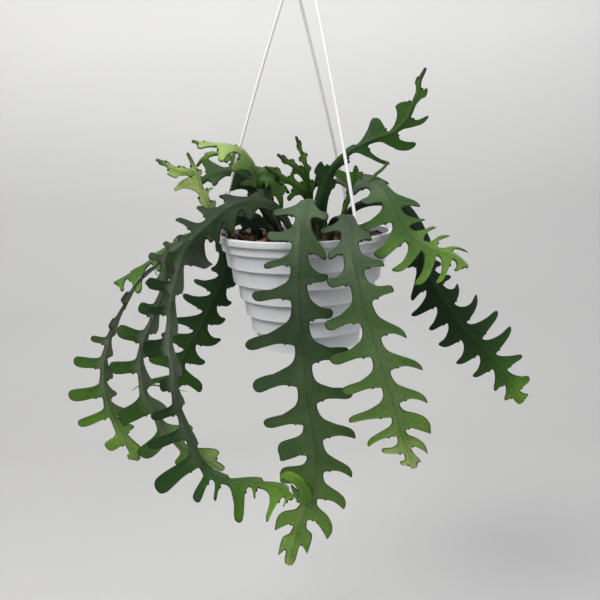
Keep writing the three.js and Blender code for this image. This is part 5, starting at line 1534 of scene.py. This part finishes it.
# %% Bark chips
CHIP_FORM = np.array([1, 0.62, 0.3])
CHIP_ROUNDNESS = 0.55
CHIP_ROUGHNESS = 0.16
CHIP_SIZES = (0.6, 1.3)
CHIP_STRETCH = (0.8, 1.2)
CHIP_SLANT = 0.5
CHIP_LIFT = (-0.2, 0.35)


def rounded_box():
    """The 26 points of a 3 x 3 x 3 grid without its middle, pulled in by their distance to the power
    of 0.55, and the four quads of each of its six sides."""
    steps = np.array([-1.0, 0, 1])
    grid = np.stack(np.meshgrid(steps, steps, steps, indexing="ij"), -1).reshape(-1, 3)
    box = grid[np.any(grid != 0, axis=1)]
    number = {tuple(point): k for k, point in enumerate(box.tolist())}
    faces = []
    for axis, end, a, b in product(range(3), (-1, 1), (-1, 0), (-1, 0)):
        corners = []
        for p, q in ((a, b), (a + 1, b), (a + 1, b + 1), (a, b + 1)):
            corners.append(number[tuple(np.roll([end, p, q], axis).tolist())])
        faces.append(corners if end > 0 else corners[::-1])
    return box / np.linalg.norm(box, axis=1, keepdims=True) ** CHIP_ROUNDNESS, np.array(faces)


def flakes(count, size, seed, reach):
    """Bark chips: a rounded box, pushed about, stretched to a flake, slanted about its y axis and
    turned about its z axis, and laid on the soil. A chip's tone goes with all its points."""
    draw = np.random.default_rng(seed)
    form, faces = rounded_box()
    points = form + draw.uniform(-CHIP_ROUGHNESS, CHIP_ROUGHNESS, (count, len(form), 3))
    stretch = draw.uniform(*CHIP_SIZES, (count, 1, 1)) * size * CHIP_FORM
    points = points * (stretch * draw.uniform(*CHIP_STRETCH, (count, 1, 3)))
    turn, slant = draw.uniform(0, 2 * np.pi, (count, 1)), draw.normal(0, CHIP_SLANT, (count, 1))
    x, y, z = np.moveaxis(points, -1, 0)
    x, z = x * np.cos(slant) - z * np.sin(slant), x * np.sin(slant) + z * np.cos(slant)
    place = np.sqrt(draw.uniform(0, 1, count)) * (reach - size)
    around = draw.uniform(0, 2 * np.pi, count)
    middle_x, middle_y = place * np.cos(around), place * np.sin(around)
    floor = SOIL_LEVEL + lumps(middle_x, middle_y) + draw.uniform(*CHIP_LIFT, count) * size
    spot = np.stack([
        x * np.cos(turn) - y * np.sin(turn) + middle_x[:, None],
        x * np.sin(turn) + y * np.cos(turn) + middle_y[:, None],
        z + floor[:, None],
    ], -1)
    faces = (np.arange(count)[:, None, None] * len(form) + faces).reshape(-1, 4)
    tone = np.repeat(draw.uniform(0, 1, count), len(form))
    return spot.reshape(-1, 3), faces.tolist(), dict(tone=tone)


coarse = flakes(count=230, size=5.5, seed=11, reach=79)
small = flakes(count=420, size=2.4, seed=12, reach=79)
chips = stack([coarse, small])
make_piece("bark_chips", chips, BARK, "bark_mix", sharp=35)

# %% [markdown]
# ## Floor and backdrop
# The object hangs over a plain pale floor that sweeps up into a backdrop, as in a photo studio. Two
# planes would show a corner behind the pot. The backdrop's paint is darker low down and lighter
# above, by its own height: a painted light, as the object's surroundings grow lighter upwards.

# %% Floor and backdrop
FLOOR = dict(height=-0.80, bend=0.45, back=0.75, half_width=3.2)
FLOOR_ROWS = (-2.6, -1.2, -0.4)
WALL_ROWS = (0.4, 1.2, 2.2)


def make_backdrop():
    """Floor and backdrop: a profile of a flat, a quarter circle and a wall, drawn out along x."""
    height, bend, back = FLOOR["height"], FLOOR["bend"], FLOOR["back"]
    a = np.linspace(0, np.pi / 2, 17)
    y = np.concatenate([FLOOR_ROWS, back + bend * np.sin(a), [back + bend] * len(WALL_ROWS)])
    z = np.concatenate([[height] * len(FLOOR_ROWS), height + bend * (1 - np.cos(a)), WALL_ROWS])
    x = np.linspace(-FLOOR["half_width"], FLOOR["half_width"], 9)
    grid = np.stack(np.broadcast_arrays(x[None], y[:, None], z[:, None]), -1)
    mesh = bpy.data.meshes.new("floor")
    faces = ring_faces(len(y), len(x), closed=False)[:, ::-1]
    mesh.from_pydata(grid.reshape(-1, 3).tolist(), [], faces.tolist())
    mesh.shade_smooth()
    mesh.materials.append(make_paint())
    floor = bpy.data.objects.new("floor", mesh)
    bpy.context.scene.collection.objects.link(floor)
    return floor


def make_paint():
    """Pale paint: two near tones in broad clouds, times 0.76 at the floor up to 1.08 at the pot, which
    paints more light higher up.
    """
    material, tree, shader = new_material("pale floor", 0.85, Specular_IOR_Level=0.2)
    tone = blend(tree, noise(tree, 3, 3), (0.66, 0.657, 0.65), (0.71, 0.705, 0.695))
    place = node(tree, "ShaderNodeTexCoord").outputs["Object"]
    height = node(tree, "ShaderNodeSeparateXYZ", Vector=place).outputs[2]
    # Painted light: the paint grows lighter with height, as if lit from above.
    tone = scaled(tree, tone, between(tree, height, -0.6, 0.05, 0.76, 1.08))
    plug(tree, shader.inputs["Base Color"], tone)
    return material


print("the backdrop has", len(make_backdrop().data.polygons), "faces")

# %% [markdown]
# ## Light
# One large soft light from the upper left gives the stems their form, a weak one from the right
# opens the shadows, and one from above lights the soil. A sun would be simpler, but its shadows are
# hard. The world adds a little even light of a cool white.

# %% Lights and world
def soft_light(name, place, aim, size, power, colour):
    """A square area light at a place, turned so that its -Z axis looks at the aim."""
    light = bpy.data.lights.new(name, "AREA")
    light.size, light.energy, light.color = size, power, colour
    lamp = bpy.data.objects.new(name, light)
    lamp.location = place
    lamp.rotation_euler = (Vector(aim) - Vector(place)).to_track_quat("-Z", "Y").to_euler()
    bpy.context.scene.collection.objects.link(lamp)


soft_light("upper left", (-1.1, -1.2, 1.35), (0, 0, -0.25), 0.9, 43, (1.0, 0.98, 0.95))
soft_light("right fill", (1.6, -1.2, 0.2), (0, 0, -0.3), 1.5, 8, (0.95, 0.98, 1.0))
soft_light("top", (0.1, 0.0, 1.4), (0, 0, -0.25), 1.0, 20, (1, 1, 1))
world = bpy.data.worlds.new("studio")
world.use_nodes = True
world.node_tree.nodes["Background"].inputs[0].default_value = (0.9, 0.93, 1.0, 1)
world.node_tree.nodes["Background"].inputs[1].default_value = 0.33
bpy.context.scene.world = world
bpy.context.scene.view_settings.view_transform = "Standard"
print(len(bpy.data.lights), "lights")

# %% [markdown]
# ## The camera
# The camera stands at the height and angle of the photograph: it looks down by 11.3 degrees and
# leans by 1.8. Turning a camera by hand until the view fits is slow; here its directions are worked
# out from the two angles.

# %% The camera
CAMERA = dict(spot=(-0.0073, -0.773, -0.19725), down=11.3, lean=1.8, lens=48)
SENSOR_WIDTH = 36


def place_camera(spot, down, lean, lens):
    """A camera at a spot that looks along +Y, tipped down and leaned about its own axis by degrees:
    right = cos(l) x - sin(l) u and up = sin(l) x + cos(l) u, with u the tipped vertical."""
    down, lean = math.radians(down), math.radians(lean)
    ahead = np.array([0, math.cos(down), -math.sin(down)])
    plain_right = np.array([1.0, 0, 0])
    plain_up = np.cross(plain_right, ahead)
    right = math.cos(lean) * plain_right - math.sin(lean) * plain_up
    up = math.sin(lean) * plain_right + math.cos(lean) * plain_up
    rows = [[*row, where] for row, where in zip(np.stack([right, up, -ahead], 1), spot)]
    camera = bpy.data.objects.new("camera", bpy.data.cameras.new("camera"))
    camera.data.lens, camera.data.sensor_width = lens, SENSOR_WIDTH
    camera.matrix_world = Matrix([*rows, [0, 0, 0, 1]])
    bpy.context.scene.collection.objects.link(camera)
    return camera


bpy.context.scene.camera = place_camera(**CAMERA)
print("the camera stands at", CAMERA["spot"])

# %% [markdown]
# ## The size
# The fine pieces must keep the size of the CAD model that they stand for.

# %% [markdown] ## The pieces Every piece now has its body, and the CAD
# nodes that it stands for are hidden.
